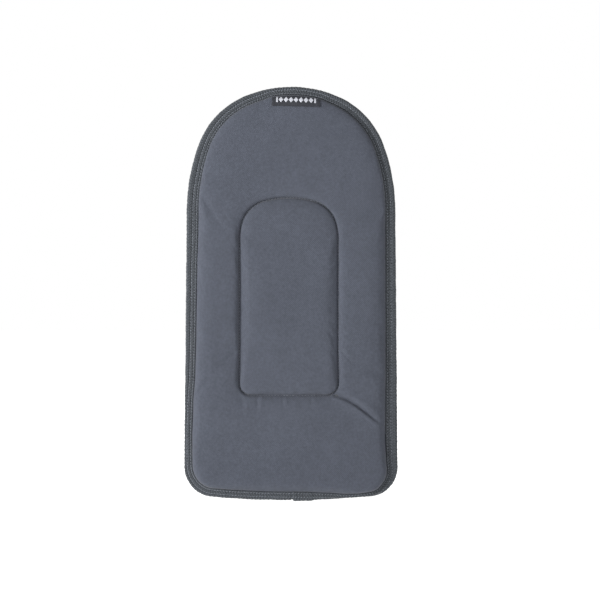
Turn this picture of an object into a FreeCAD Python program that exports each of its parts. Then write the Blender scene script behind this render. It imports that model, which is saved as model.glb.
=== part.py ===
import FreeCAD, Part
import math
import os
import Sketcher

# A padded textile back protector: an arched cushion panel whose edge is bound with folded tape.
# Frame: X is the width, +Z points up to the arch and -Y is the front, away from the wearer's bag.
# The origin is the middle of the upper hook strip's face, where the panel is held on the bag.
# Depths are counted forwards from the back lining's outer face. Lengths are millimetres, angles degrees.

SIZES = {
    # the whole panel
    "pad_width": (208.4, "width at the foot of the arch"),
    "pad_height": (413.0, "height from the hem to the crown"),
    "pad_rise": (122.9, "drop from the crown to the foot of the arch"),
    "pad_crown_radius": (120.5, "radius over the crown"),
    "pad_crown_span": (44.2, "angle that the crown arc spans"),
    "pad_shoulder_span": (47.8, "angle that each shoulder arc spans"),
    "pad_flare": (2.3, "how much further out each side stands at the hem"),
    "pad_corner_radius": (30.0, "radius of the two hem corners"),
    "pad_base_radius": (960.0, "radius of the slightly bowed hem"),
    # the sewn channel that outlines the middle panel
    "channel_width": (98.7, "width between the two upright seams"),
    "channel_height": (197.5, "height of the sewn outline"),
    "channel_rise": (42.2, "drop from its crown to the foot of its arch"),
    "channel_crown_radius": (95.0, "radius over its crown"),
    "channel_crown_span": (30.0, "angle that its crown arc spans"),
    "channel_shoulder_span": (60.0, "angle that each of its shoulder arcs spans"),
    "channel_flare": (0.2, "how much further out each seam stands at the bottom"),
    "channel_corner_radius": (12.0, "radius of its bottom corners"),
    "channel_base_radius": (2500.0, "radius of its bottom seam"),
    "channel_lift": (104.5, "height of its bottom seam above the hem"),
    "channel_shift": (-2.2, "how far its centre line stands off the panel's"),
    # the layers, from the bag side to the front
    "lining_thickness": (0.6, "back lining"),
    "stiffener_thickness": (0.8, "plastic sheet behind the foam"),
    "stiffener_inset": (14.0, "distance from the panel's edge to the sheet"),
    "stiffener_clearance": (0.4, "room for thread ends between lining and sheet"),
    "foam_thickness": (8.5, "foam, sheet pocket included"),
    "foam_edge": (2.2, "foam where the binding squeezes it"),
    "cover_thickness": (0.8, "front cover fabric"),
    "roll_radius": (5.0, "roll-off of the foam beside the binding"),
    "groove_width": (7.0, "channel pressed into the foam"),
    "groove_depth": (4.0, "depth of that channel"),
    "groove_floor_radius": (1.5, "round at the foot of its walls"),
    # binding tape, folded over the edge
    "tape_width": (25.0, "flat width of the tape"),
    "tape_thickness": (0.6, "tape"),
    "tape_fold_radius": (2.0, "outer radius of the tape's fold"),
    "tape_gap": (0.4, "gap between the tape's edge and the cushion's wall"),
    # woven label, caught under the tape at the crown
    "label_width": (48.0, "label"),
    "label_height": (14.0, "label, hidden part included"),
    "label_drop": (19.3, "label's lower edge below the crown"),
    "label_shift": (5.0, "label's centre beside the centre line"),
    "label_thickness": (0.35, "label"),
    # hook tape on the back
    "strip_length": (120.0, "hook strip"),
    "strip_width": (25.0, "hook strip"),
    "strip_base": (0.6, "hook strip's woven base"),
    "strip_hooks": (1.5, "height of the hooks above the base"),
    "strip_selvedge": (3.0, "bare edge around the hooks"),
    "strip_corner_radius": (3.0, "corners of the woven base"),
    "upper_strip_drop": (91.0, "middle of the upper strip below the crown"),
    "lower_strip_lift": (72.0, "middle of the lower strip above the hem"),
    # thread
    "thread_width": (0.5, "a row of stitches, seen from the front"),
    "thread_height": (0.35, "how far a row stands proud"),
    "row_margin": (1.5, "first row from the tape's inner edge"),
    "row_spacing": (3.5, "second row from the first"),
    "strip_row_margin": (1.5, "row from the hook strip's edge"),
}

# Derived sizes, as expressions in the sheet's values.
STACK = "(Sizes.lining_thickness + Sizes.foam_edge + Sizes.cover_thickness)"
BINDING = "(" + STACK + " + 2 * Sizes.tape_thickness)"
LEG = "(Sizes.tape_width - " + BINDING + ") / 2"
FOLD_ROOM = "Sizes.tape_fold_radius"
FOAM_WALL = LEG + " + Sizes.tape_gap + Sizes.cover_thickness"
FOAM_FRONT = "(Sizes.lining_thickness + Sizes.foam_thickness)"
CROWN = "Sizes.upper_strip_drop"
HEM = "(" + CROWN + " - Sizes.pad_height)"
LINING_FACE = "(Sizes.strip_base + Sizes.strip_hooks)"  # the lining's outer face in front of the hooks' tips
STRIPS = {"upper": "0", "lower": HEM + " + Sizes.lower_strip_lift"}

FORWARD = FreeCAD.Vector(0, -1, 0)
UPRIGHT = FreeCAD.Rotation(FreeCAD.Vector(1, 0, 0), 90)
FIT = 0.1  # least straight wall left between two rounds
TINY = 1e-4
CUT_MARGIN = 5.0  # how far a cutting solid runs past the face that it cuts


def make_sheet(doc):
    """The sheet of driving sizes: a name, a plain number and a note in each row."""
    sheet = doc.addObject("Spreadsheet::Sheet", "Sizes")
    for row, (alias, (value, note)) in enumerate(SIZES.items(), 1):
        sheet.set("A%d" % row, alias)
        sheet.set("B%d" % row, "%g" % value)
        sheet.set("C%d" % row, note)
        sheet.setAlias("B%d" % row, alias)
    doc.recompute()
    return sheet


def polar(centre, radius, angle):
    """Point at an angle from the upright on a circle, clockwise to the right."""
    return centre + FreeCAD.Vector(radius * math.sin(angle), radius * math.cos(angle), 0)


def arc(centre, radius, first, last):
    """Arc between two angles from the upright, drawn anticlockwise from the first."""
    circle = Part.Circle(centre, FreeCAD.Vector(0, 0, 1), radius)
    return Part.ArcOfCircle(circle, math.pi / 2 - first, math.pi / 2 - last)


def arch_radii(reach, rise, crown, joints):
    """Shoulder and flank radii that lead a crown arc smoothly to the foot of the arch."""
    first, second, third = joints
    across = reach - crown * math.sin(first)
    down = rise - crown * (1 - math.cos(first))
    shoulder_across = math.sin(second) - math.sin(first)
    shoulder_down = math.cos(first) - math.cos(second)
    flank_across = math.sin(third) - math.sin(second)
    flank_down = math.cos(second) - math.cos(third)
    scale = shoulder_across * flank_down - flank_across * shoulder_down
    shoulder = (across * flank_down - flank_across * down) / scale
    flank = (shoulder_across * down - shoulder_down * across) / scale
    return shoulder, flank


def corner_height(across, corner, base):
    """Height of a hem corner's centre that makes the corner meet the bowed base smoothly."""
    return base - math.sqrt((base - corner) ** 2 - across**2)


def side_lean(half, flare, foot, corner, base):
    """Angle of a side off the upright; a few rounds settle it, since the corner's place depends on it."""
    lean = 0.0
    for _ in range(12):
        across = half + flare - corner * math.cos(lean)
        joint = corner_height(across, corner, base) + corner * math.sin(lean)
        lean = math.atan2(flare, foot - joint)
    return lean


def arched_outline(doc, sheet, name):
    """Outline with a three-radius arch, slightly flared sides, round corners and a bowed base."""

    def size(cell):
        return float(sheet.get(name + "_" + cell))

    half = size("width") / 2
    flare = size("flare")
    corner = size("corner_radius")
    base = size("base_radius")
    crown = size("crown_radius")
    foot = size("height") - size("rise")
    lean = side_lean(half, flare, foot, corner, base)
    crown_joint = math.radians(size("crown_span") / 2)
    shoulder_joint = crown_joint + math.radians(size("shoulder_span"))
    foot_joint = math.pi / 2 - lean
    shoulder, flank = arch_radii(half, size("rise"), crown, (crown_joint, shoulder_joint, foot_joint))

    crown_centre = FreeCAD.Vector(0, size("height") - crown, 0)
    shoulder_centre = polar(crown_centre, crown - shoulder, crown_joint)
    flank_centre = polar(shoulder_centre, shoulder - flank, shoulder_joint)
    corner_x = half + flare - corner * math.cos(lean)
    corner_centre = FreeCAD.Vector(corner_x, corner_height(corner_x, corner, base), 0)
    base_joint = math.pi - math.asin(corner_x / (base - corner))
    base_centre = FreeCAD.Vector(0, base, 0)
    foot_point = polar(flank_centre, flank, foot_joint)
    hem_point = polar(corner_centre, corner, foot_joint)

    def mirrored(point):
        return FreeCAD.Vector(-point.x, point.y, 0)

    sketch = doc.addObject("Sketcher::SketchObject", name + "_outline")
    top = sketch.addGeometry(arc(crown_centre, crown, crown_joint, -crown_joint))
    right = [
        sketch.addGeometry(arc(shoulder_centre, shoulder, shoulder_joint, crown_joint)),
        sketch.addGeometry(arc(flank_centre, flank, foot_joint, shoulder_joint)),
        sketch.addGeometry(Part.LineSegment(foot_point, hem_point)),
        sketch.addGeometry(arc(corner_centre, corner, base_joint, foot_joint)),
    ]
    left = [
        sketch.addGeometry(arc(mirrored(shoulder_centre), shoulder, -crown_joint, -shoulder_joint)),
        sketch.addGeometry(arc(mirrored(flank_centre), flank, -shoulder_joint, -foot_joint)),
        sketch.addGeometry(Part.LineSegment(mirrored(foot_point), mirrored(hem_point))),
        sketch.addGeometry(arc(mirrored(corner_centre), corner, -foot_joint, -base_joint)),
    ]
    bottom = sketch.addGeometry(arc(base_centre, base, 2 * math.pi - base_joint, base_joint))
    join_outline(sketch, top, right, left, bottom)
    size_outline(sketch, name, top, right, left, bottom)
    sketch.Placement = FreeCAD.Placement(FreeCAD.Vector(), UPRIGHT)
    return sketch


def join_outline(sketch, top, right, left, bottom):
    """Smooth joints down the right side; the left side mirrors it about the upright axis."""
    start, end, axis = 1, 2, -2
    smooth = [
        (top, start, right[0], end),
        (right[0], start, right[1], end),
        (right[1], start, right[2], start),
        (right[2], end, right[3], end),
        (right[3], start, bottom, end),
    ]
    touching = [
        (top, end, left[0], start),
        (left[0], end, left[1], start),
        (left[1], end, left[2], start),
        (left[2], end, left[3], start),
        (left[3], end, bottom, start),
    ]
    pairs = [
        (top, start, top, end),
        (right[0], start, left[0], end),
        (right[1], start, left[1], end),
        (right[2], end, left[2], end),
        (bottom, start, bottom, end),
    ]
    for joint in smooth:
        sketch.addConstraint(Sketcher.Constraint("Tangent", *joint))
    for joint in touching:
        sketch.addConstraint(Sketcher.Constraint("Coincident", *joint))
    for pair in pairs:
        sketch.addConstraint(Sketcher.Constraint("Symmetric", *pair, axis))
    for one, other in ((right[0], left[0]), (right[1], left[1]), (right[3], left[3])):
        sketch.addConstraint(Sketcher.Constraint("Equal", one, other))


def size_outline(sketch, name, top, right, left, bottom):
    """Bind the outline's ten dimensions to the sheet."""
    start, end, centre = 1, 2, 3
    cell = "Sizes." + name + "_"
    dimensions = [
        ("crown_radius", ("Radius", top), cell + "crown_radius"),
        ("crown_span", ("Angle", top), cell + "crown_span"),
        ("shoulder_span", ("Angle", right[0]), cell + "shoulder_span"),
        ("crown_centre", ("DistanceY", top, centre), cell + "height - " + cell + "crown_radius"),
        ("foot_height", ("DistanceY", right[2], start), cell + "height - " + cell + "rise"),
        ("foot_width", ("DistanceX", left[2], start, right[2], start), cell + "width"),
        ("hem_width", ("DistanceX", left[2], end, right[2], end), cell + "width + 2 * " + cell + "flare"),
        ("corner_radius", ("Radius", right[3]), cell + "corner_radius"),
        ("base_radius", ("Radius", bottom), cell + "base_radius"),
        ("base_centre", ("DistanceY", bottom, centre), cell + "base_radius"),
    ]
    for label, kind, expression in dimensions:
        number = sketch.addConstraint(Sketcher.Constraint(*kind, measured(sketch, kind)))
        sketch.renameConstraint(number, label)
        sketch.setExpression("Constraints." + label, expression)


def measured(sketch, kind):
    """Present value of a dimension, so that the sketch starts out solved."""
    curve = sketch.Geometry[kind[1]]
    if kind[0] == "Radius":
        return curve.Radius
    if kind[0] == "Angle":
        return curve.LastParameter - curve.FirstParameter
    if kind[0] == "DistanceY":
        return sketch.getPoint(kind[1], kind[2]).y
    return sketch.getPoint(kind[3], kind[4]).x - sketch.getPoint(kind[1], kind[2]).x


def inset(doc, name, outline, amount):
    """An outline moved inwards by an expression."""
    wire = doc.addObject("Part::Offset2D", name)
    wire.Source = outline
    wire.Mode = "Pipe"
    wire.Join = "Arc"
    wire.setExpression("Value", "-(" + amount + ")")
    return wire


def at_depth(depth):
    """Expression of the Y at a depth counted forwards from the lining's outer face."""
    return "-(" + depth + ") - " + LINING_FACE


def plate(doc, name, outline, back, thickness):
    """Plate whose back face stands a given depth in front of the lining's outer face."""
    solid = doc.addObject("Part::Extrusion", name)
    solid.Base = outline
    solid.DirMode = "Custom"
    solid.Dir = FORWARD
    solid.Solid = True
    solid.setExpression("LengthFwd", thickness)
    solid.setExpression(".Placement.Base.y", at_depth(back))
    return solid


def cut(doc, name, base, tool):
    """One solid with another taken out of it."""
    result = doc.addObject("Part::Cut", name)
    result.Base = base
    result.Tool = tool
    return result


def ring(doc, name, outline, middle, width, back, thickness):
    """Flat band along an outline; the middle of the band lies a given distance inside it."""
    outside = inset(doc, name + "_outside", outline, middle + " - " + width + " / 2")
    inside = inset(doc, name + "_inside", outline, middle + " + " + width + " / 2")
    disc = plate(doc, name + "_disc", outside, back, thickness)
    hole = plate(doc, name + "_hole", inside, back, thickness)
    return cut(doc, name, disc, hole)


def edges_in_plane(shape, place):
    """Numbered edges that lie in the upright plane at a given Y."""
    found = []
    for number, edge in enumerate(shape.Edges, 1):
        box = edge.BoundBox
        if abs(box.YMin - place) < TINY and abs(box.YMax - place) < TINY:
            found.append((number, edge))
    return found


def rounded(doc, name, base, picks):
    """The same solid with each picked (edge number, radius) rounded."""
    result = doc.addObject("Part::Fillet", name)
    result.Base = base
    result.Edges = [(number, radius, radius) for number, radius in picks]
    doc.recompute()
    return result


def evaluate(sheet, expression):
    """Value of an expression in the sheet's names."""
    return float(sheet.evalExpression(expression.replace("Sizes.", "")))


def cushion(doc, sheet, outlines, name, skin):
    """The foam's outer form, grown by a skin: rolled-off block, pressed channel and thin flange."""
    pad, channel = outlines
    extra = evaluate(sheet, skin)
    front = evaluate(sheet, at_depth(FOAM_FRONT + " + " + skin))
    wall = inset(doc, name + "_wall", pad, FOAM_WALL + " - (" + skin + ")")
    block = plate(doc, name + "_block", wall, "Sizes.lining_thickness", "Sizes.foam_thickness + " + skin)
    doc.recompute()
    roll = roll_radius(sheet) + extra
    picks = [(number, roll) for number, edge in edges_in_plane(block.Shape, front)]
    rolled = rounded(doc, name + "_rolled", block, picks)
    groove = pressed_channel(doc, sheet, channel, name + "_groove", skin)
    grooved = cut(doc, name + "_grooved", rolled, groove)
    edge = inset(doc, name + "_edge", pad, FOLD_ROOM)
    flange = plate(doc, name + "_flange", edge, "Sizes.lining_thickness", "Sizes.foam_edge + " + skin)
    joined = doc.addObject("Part::Fuse", name)
    joined.Base = grooved
    joined.Tool = flange
    return joined


def roll_radius(sheet):
    """Roll-off of the foam beside the binding, limited by the wall that it rounds."""
    wall = evaluate(sheet, "Sizes.foam_thickness - Sizes.foam_edge")
    skins = evaluate(sheet, "Sizes.cover_thickness + Sizes.label_thickness")
    return min(evaluate(sheet, "Sizes.roll_radius"), wall - skins - FIT)


def pressed_channel(doc, sheet, channel, name, skin):
    """Solid that presses the sewn channel into the cushion's front."""
    width = "(Sizes.groove_width - 2 * (" + skin + "))"
    floor_depth = FOAM_FRONT + " - Sizes.groove_depth + " + skin
    band = ring(doc, name + "_band", channel, "0", width, floor_depth, "Sizes.groove_depth + %g" % CUT_MARGIN)
    doc.recompute()
    radius = evaluate(sheet, "Sizes.groove_floor_radius - (" + skin + ")")
    floor = edges_in_plane(band.Shape, evaluate(sheet, at_depth(floor_depth)))
    return rounded(doc, name, band, [(number, radius) for number, edge in floor])


def stiffener_sheet(doc, pad):
    """Thin plastic sheet that spreads the load of what the bag carries on its back."""
    outline = inset(doc, "stiffener_edge", pad, "Sizes.stiffener_inset")
    back = "Sizes.lining_thickness + Sizes.stiffener_clearance"
    return plate(doc, "stiffener_sheet", outline, back, "Sizes.stiffener_thickness")


def foam_core(doc, pad, foam, bobbin):
    """Foam with a pocket for the sheet and a crease where the channel's bobbin thread pulls in."""
    outline = inset(doc, "pocket_edge", pad, "Sizes.stiffener_inset")
    depth = "Sizes.stiffener_clearance + Sizes.stiffener_thickness"
    pocket = plate(doc, "stiffener_pocket", outline, "Sizes.lining_thickness", depth)
    return cut(doc, "foam_core", cut(doc, "foam_pocketed", foam, pocket), bobbin)


def back_lining(doc, pad):
    """Plain lining on the bag side, cut to the same line as the foam's edge."""
    edge = inset(doc, "lining_edge", pad, FOLD_ROOM)
    return plate(doc, "back_lining", edge, "0", "Sizes.lining_thickness")


def woven_label(doc, label_form, cover_form):
    """Label that lies over the cushion's roll-off, its top edge caught under the tape."""
    window = doc.addObject("Part::Box", "label_window")
    window.setExpression("Length", "Sizes.label_width")
    window.setExpression("Height", "Sizes.label_height")
    window.setExpression("Width", FOAM_FRONT + " + %g" % CUT_MARGIN)
    window.setExpression(".Placement.Base.x", "Sizes.label_shift - Sizes.label_width / 2")
    window.setExpression(".Placement.Base.y", at_depth(FOAM_FRONT + " + %g" % CUT_MARGIN))
    window.setExpression(".Placement.Base.z", CROWN + " - Sizes.label_drop")
    patch = doc.addObject("Part::Common", "label_patch")
    patch.Base = window
    patch.Tool = label_form
    return cut(doc, "label", patch, cover_form)


def edge_binding(doc, sheet, pad, label):
    """Tape folded over the panel's edge, with room inside for the squeezed layers."""
    back = "-Sizes.tape_thickness"
    outer = plate(doc, "tape_outer", pad, back, BINDING)
    hollow_edge = inset(doc, "tape_hollow_edge", pad, "Sizes.tape_thickness")
    hollow = plate(doc, "tape_hollow", hollow_edge, "0", STACK)
    doc.recompute()
    half_fold = evaluate(sheet, BINDING) / 2 - FIT
    fold = min(evaluate(sheet, "Sizes.tape_fold_radius"), half_fold)
    inner_fold = fold - evaluate(sheet, "Sizes.tape_thickness")
    outer_round = rounded(doc, "tape_outer_round", outer, faces_rim(outer, fold))
    hollow_round = rounded(doc, "tape_hollow_round", hollow, faces_rim(hollow, inner_fold))
    tape = cut(doc, "tape_shell", outer_round, hollow_round)
    mouth = inset(doc, "tape_mouth", pad, LEG)
    through = BINDING + " + %g" % (2 * CUT_MARGIN)
    opening = plate(doc, "tape_opening", mouth, back + " - %g" % CUT_MARGIN, through)
    folded = cut(doc, "tape_folded", tape, opening)
    return cut(doc, "edge_binding", folded, label)


def faces_rim(solid, radius):
    """Every edge of a plate's front and back faces, with one radius."""
    box = solid.Shape.BoundBox
    front = edges_in_plane(solid.Shape, box.YMin)
    back = edges_in_plane(solid.Shape, box.YMax)
    return [(number, radius) for number, edge in front + back]


def binding_threads(doc, pad):
    """Two rows of lockstitch around the binding: needle thread in front, bobbin thread behind."""
    first_row = LEG + " - Sizes.row_margin"
    rows = {"inner": first_row, "outer": first_row + " - Sizes.row_spacing"}
    sides = {
        "needle": STACK + " + Sizes.tape_thickness",
        "bobbin": "-Sizes.tape_thickness - Sizes.thread_height",
    }
    threads = []
    for row, middle in rows.items():
        for side, back in sides.items():
            name = "binding_%s_%s_thread" % (row, side)
            threads.append(ring(doc, name, pad, middle, "Sizes.thread_width", back, "Sizes.thread_height"))
    return threads


def channel_needle_thread(doc, channel):
    """Needle thread along the floor of the channel, on the cover."""
    back = FOAM_FRONT + " - Sizes.groove_depth + Sizes.cover_thickness"
    return ring(doc, "channel_needle_thread", channel, "0", "Sizes.thread_width", back, "Sizes.thread_height")


def channel_bobbin_thread(doc, channel):
    """Bobbin thread of the same seam, sunk into the back of the foam in front of the sheet."""
    back = "Sizes.lining_thickness + Sizes.stiffener_clearance + Sizes.stiffener_thickness"
    return ring(doc, "channel_bobbin_thread", channel, "0", "Sizes.thread_width", back, "Sizes.thread_height")


def origin_plane(body, role):
    """One of a body's own origin planes."""
    return next(plane for plane in body.Origin.OriginFeatures if plane.Role == role)


def centred_rectangle(body, name, width, height):
    """Sketch of a rectangle about the body's origin, in its upright plane."""
    sketch = body.newObject("Sketcher::SketchObject", name)
    sketch.AttachmentSupport = [(origin_plane(body, "XZ_Plane"), "")]
    sketch.MapMode = "FlatFace"
    corners = [FreeCAD.Vector(x, y, 0) for x, y in ((-9, -9), (9, -9), (9, 9), (-9, 9))]
    for number, corner in enumerate(corners):
        sketch.addGeometry(Part.LineSegment(corner, corners[(number + 1) % 4]))
    for number in range(4):
        sketch.addConstraint(Sketcher.Constraint("Coincident", number, 2, (number + 1) % 4, 1))
    for side in (0, 2):
        sketch.addConstraint(Sketcher.Constraint("Horizontal", side))
    for side in (1, 3):
        sketch.addConstraint(Sketcher.Constraint("Vertical", side))
    sketch.addConstraint(Sketcher.Constraint("Symmetric", 0, 1, 1, 2, -1, 1))
    for label, constraint, expression in (
        ("width", Sketcher.Constraint("DistanceX", 0, 1, 0, 2, 18), width),
        ("height", Sketcher.Constraint("DistanceY", 1, 1, 1, 2, 18), height),
    ):
        number = sketch.addConstraint(constraint)
        sketch.renameConstraint(number, label)
        sketch.setExpression("Constraints." + label, expression)
    return sketch


def hook_strip(doc, name, middle):
    """Hook tape sewn to the lining: a woven base with a field of hooks inside a bare selvedge."""
    body = doc.addObject("PartDesign::Body", name)
    base_sketch = centred_rectangle(body, name + "_base_sketch", "Sizes.strip_length", "Sizes.strip_width")
    base = body.newObject("PartDesign::Pad", name + "_base")
    base.Profile = base_sketch
    base.Reversed = True
    base.setExpression("Length", "Sizes.strip_base")
    doc.recompute()
    corners = body.newObject("PartDesign::Fillet", name + "_corners")
    corners.Base = (base, upright_edges(base.Shape))
    corners.setExpression("Radius", "Sizes.strip_corner_radius")
    doc.recompute()
    hooks_sketch = centred_rectangle(
        body,
        name + "_hooks_sketch",
        "Sizes.strip_length - 2 * Sizes.strip_selvedge",
        "Sizes.strip_width - 2 * Sizes.strip_selvedge",
    )
    hooks = body.newObject("PartDesign::Pad", name + "_hooks")
    hooks.Profile = hooks_sketch
    hooks.Reversed = True
    hooks.setExpression("Length", "Sizes.strip_base + Sizes.strip_hooks")
    body.Tip = hooks
    body.setExpression(".Placement.Base.y", "-" + LINING_FACE)
    body.setExpression(".Placement.Base.z", middle)
    return body


def upright_edges(shape):
    """Names of the edges that run from the strip's back to its front."""
    names = []
    for number, edge in enumerate(shape.Edges, 1):
        box = edge.BoundBox
        if box.XLength < TINY and box.ZLength < TINY:
            names.append("Edge%d" % number)
    return names


def strip_thread(doc, name, middle, back):
    """Rectangle of stitches just inside the hook strip's edge."""
    frames = []
    for part, change in (("outside", "+"), ("inside", "-")):
        box = doc.addObject("Part::Box", name + "_" + part)
        length, width = [
            "(" + span + " - 2 * Sizes.strip_row_margin " + change + " Sizes.thread_width)"
            for span in ("Sizes.strip_length", "Sizes.strip_width")
        ]
        box.setExpression("Length", length)
        box.setExpression("Width", "Sizes.thread_height")
        box.setExpression("Height", width)
        box.setExpression(".Placement.Base.x", "-" + length + " / 2")
        box.setExpression(".Placement.Base.y", at_depth(back) + " - Sizes.thread_height")
        box.setExpression(".Placement.Base.z", middle + " - " + width + " / 2")
        frames.append(box)
    return cut(doc, name, *frames)


def build(doc):
    """Every sub-part of the protector, in its place."""
    sheet = make_sheet(doc)
    pad = arched_outline(doc, sheet, "pad")
    pad.setExpression(".Placement.Base.z", HEM)
    channel = arched_outline(doc, sheet, "channel")
    channel.setExpression(".Placement.Base.x", "Sizes.channel_shift")
    channel.setExpression(".Placement.Base.z", HEM + " + Sizes.channel_lift")
    doc.recompute()
    outlines = (pad, channel)
    foam = cushion(doc, sheet, outlines, "foam_form", "0")
    cover_form = cushion(doc, sheet, outlines, "cover_form", "Sizes.cover_thickness")
    label_form = cushion(doc, sheet, outlines, "label_form", "Sizes.cover_thickness + Sizes.label_thickness")
    bobbin = channel_bobbin_thread(doc, channel)
    label = woven_label(doc, label_form, cover_form)
    parts = [
        cut(doc, "front_cover", cover_form, foam),
        foam_core(doc, pad, foam, bobbin),
        stiffener_sheet(doc, pad),
        back_lining(doc, pad),
        label,
        edge_binding(doc, sheet, pad, label),
        channel_needle_thread(doc, channel),
        bobbin,
    ]
    parts += binding_threads(doc, pad)
    for place, middle in STRIPS.items():
        parts.append(hook_strip(doc, place + "_hook_strip", middle))
        needle_back = "-Sizes.strip_base - Sizes.thread_height"
        parts.append(strip_thread(doc, place + "_strip_needle_thread", middle, needle_back))
        parts.append(strip_thread(doc, place + "_strip_bobbin_thread", middle, "Sizes.lining_thickness"))
    doc.recompute()
    return parts


def check(doc, parts):
    """Stop if anything in the document failed or a sub-part has no sound solid."""
    for item in doc.Objects:
        if "Invalid" in item.State or "Error" in item.State:
            raise RuntimeError("%s did not compute: %s" % (item.Name, item.State))
    for part in parts:
        if part.Shape.isNull() or not part.Shape.isValid() or not part.Shape.Solids:
            raise RuntimeError("%s has no valid solid" % part.Label)


def main():
    """Build the document, test it and write one STEP file for each sub-part."""
    doc = FreeCAD.newDocument("back_protector")
    parts = build(doc)
    check(doc, parts)
    os.makedirs("parts", exist_ok=True)
    for part in parts:
        part.Shape.exportStep("parts/%s.step" % part.Label)
        box = part.Shape.optimalBoundingBox()
        spans = (box.XMin, box.XMax, box.YMin, box.YMax, box.ZMin, box.ZMax)
        print("%-28s %9.1f mm3" % (part.Label, part.Shape.Volume), *["%8.2f" % value for value in spans])


main()
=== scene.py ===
import math

import bmesh
import bpy
import numpy as np
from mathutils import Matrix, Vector
from mathutils.bvhtree import BVHTree
from mathutils.kdtree import KDTree


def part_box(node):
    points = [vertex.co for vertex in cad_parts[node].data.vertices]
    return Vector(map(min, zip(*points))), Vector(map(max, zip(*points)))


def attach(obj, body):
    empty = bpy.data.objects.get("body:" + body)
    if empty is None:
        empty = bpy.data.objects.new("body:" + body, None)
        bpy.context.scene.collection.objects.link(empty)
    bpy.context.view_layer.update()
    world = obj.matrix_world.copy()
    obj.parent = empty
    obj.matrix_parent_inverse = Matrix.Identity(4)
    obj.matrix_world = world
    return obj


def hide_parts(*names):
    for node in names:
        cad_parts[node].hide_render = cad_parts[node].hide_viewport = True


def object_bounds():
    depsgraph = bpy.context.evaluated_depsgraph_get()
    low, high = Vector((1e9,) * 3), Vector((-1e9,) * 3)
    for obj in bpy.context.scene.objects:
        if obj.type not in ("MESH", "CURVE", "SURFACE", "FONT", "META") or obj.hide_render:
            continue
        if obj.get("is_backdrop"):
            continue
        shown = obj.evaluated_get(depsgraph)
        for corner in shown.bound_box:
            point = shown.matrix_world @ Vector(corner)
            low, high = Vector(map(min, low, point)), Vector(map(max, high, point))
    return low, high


bl_info = {
    "name": "Back protector",
    "version": (1, 0, 0),
    "blender": (4, 5, 0),
    "location": "3D View > Sidebar > Protector",
    "description": "Sews a padded textile back protector around its packed frame",
    "category": "Object",
}

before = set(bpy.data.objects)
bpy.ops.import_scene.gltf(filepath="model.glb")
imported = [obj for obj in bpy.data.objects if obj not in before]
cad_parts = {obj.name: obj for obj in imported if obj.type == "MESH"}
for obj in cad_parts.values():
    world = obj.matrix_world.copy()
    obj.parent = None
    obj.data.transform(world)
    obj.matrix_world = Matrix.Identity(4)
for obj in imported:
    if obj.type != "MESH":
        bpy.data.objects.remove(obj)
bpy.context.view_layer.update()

# Places are worked out in millimetres on the panel itself: x across, z up from the middle of its
# height, and h forwards from the lining's outer face.
MM = 0.001
TAPE_LOW, TAPE_HIGH = (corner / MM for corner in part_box("edge_binding"))
MID_Z = (TAPE_LOW.z + TAPE_HIGH.z) / 2
HALF_HEIGHT = (TAPE_HIGH.z - TAPE_LOW.z) / 2
LINING_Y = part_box("back_lining")[1].y / MM
LINING_THICKNESS = LINING_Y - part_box("back_lining")[0].y / MM
COVER_FRONT = LINING_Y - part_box("front_cover")[0].y / MM
TAPE_FRONT = LINING_Y - TAPE_LOW.y
TAPE_BACK = LINING_Y - TAPE_HIGH.y
SEAM_LOW, SEAM_HIGH = (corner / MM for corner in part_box("channel_needle_thread"))
SEAM_X = (SEAM_LOW.x + SEAM_HIGH.x) / 2
HEART = np.array((SEAM_X, (SEAM_LOW.z + SEAM_HIGH.z) / 2 - MID_Z))
LABEL_LOW, LABEL_HIGH = (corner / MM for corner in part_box("label"))

RAYS = 840  # points round each ring of the cushion's mesh
COARSE = 4  # the cloth is simulated on every fourth ray
TAPE_WIDTH = 25.0  # before it is folded
TAPE_GAP = 0.45  # between the tape and the cover under it
STITCH_PITCH = 3.0
ROW_INSET = 1.5  # from the tape's inner edge to the nearer row of stitches
ROW_GAP = 3.5  # between the two rows
ROW_ROUND = 1.5  # how far round the fold a row may come out behind


# ---------------------------------------------------------------------------------------------
# Sizes and colours that a user would change
# ---------------------------------------------------------------------------------------------


def linear(hex_code):
    """Linear colour of an sRGB hex value."""
    values = [int(hex_code[place : place + 2], 16) / 255 for place in (1, 3, 5)]
    return [v / 12.92 if v <= 0.04045 else ((v + 0.055) / 1.055) ** 2.4 for v in values]


def colour(name, description, hex_code):
    """A colour setting with its default as a hex value."""
    return bpy.props.FloatVectorProperty(
        name=name, description=description, subtype="COLOR", size=3, min=0, max=1, default=linear(hex_code)
    )


def length(name, description, default):
    """A length setting, in metres as the rest of the scene."""
    return bpy.props.FloatProperty(
        name=name, description=description, default=default, unit="LENGTH", precision=5
    )


class ProtectorSizes(bpy.types.PropertyGroup):
    """Sizes of the soft parts that the frame leaves open."""

    swell: length("Swell", "Most that the filling pushes the cover outwards", 0.0016)
    groove: length("Seam depth", "Depth of the sewn channel below the cover's face", 0.0042)
    panel_round: length("Middle panel's round", "Width over which the middle panel falls to the seam", 0.0088)
    field_round: length("Field's round", "Width over which the cover outside the seam falls to it", 0.0052)
    edge_round: length("Edge's round", "Width over which the cover falls to the binding", 0.0075)
    cover_cloth: length("Cover's cloth", "Thickness of the cover's fabric", 0.0008)
    tape_cloth: length("Binding's cloth", "Thickness of the binding tape", 0.0006)
    hook_pitch: length("Hook pitch", "Distance between two rows of hooks", 0.0016)


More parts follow.
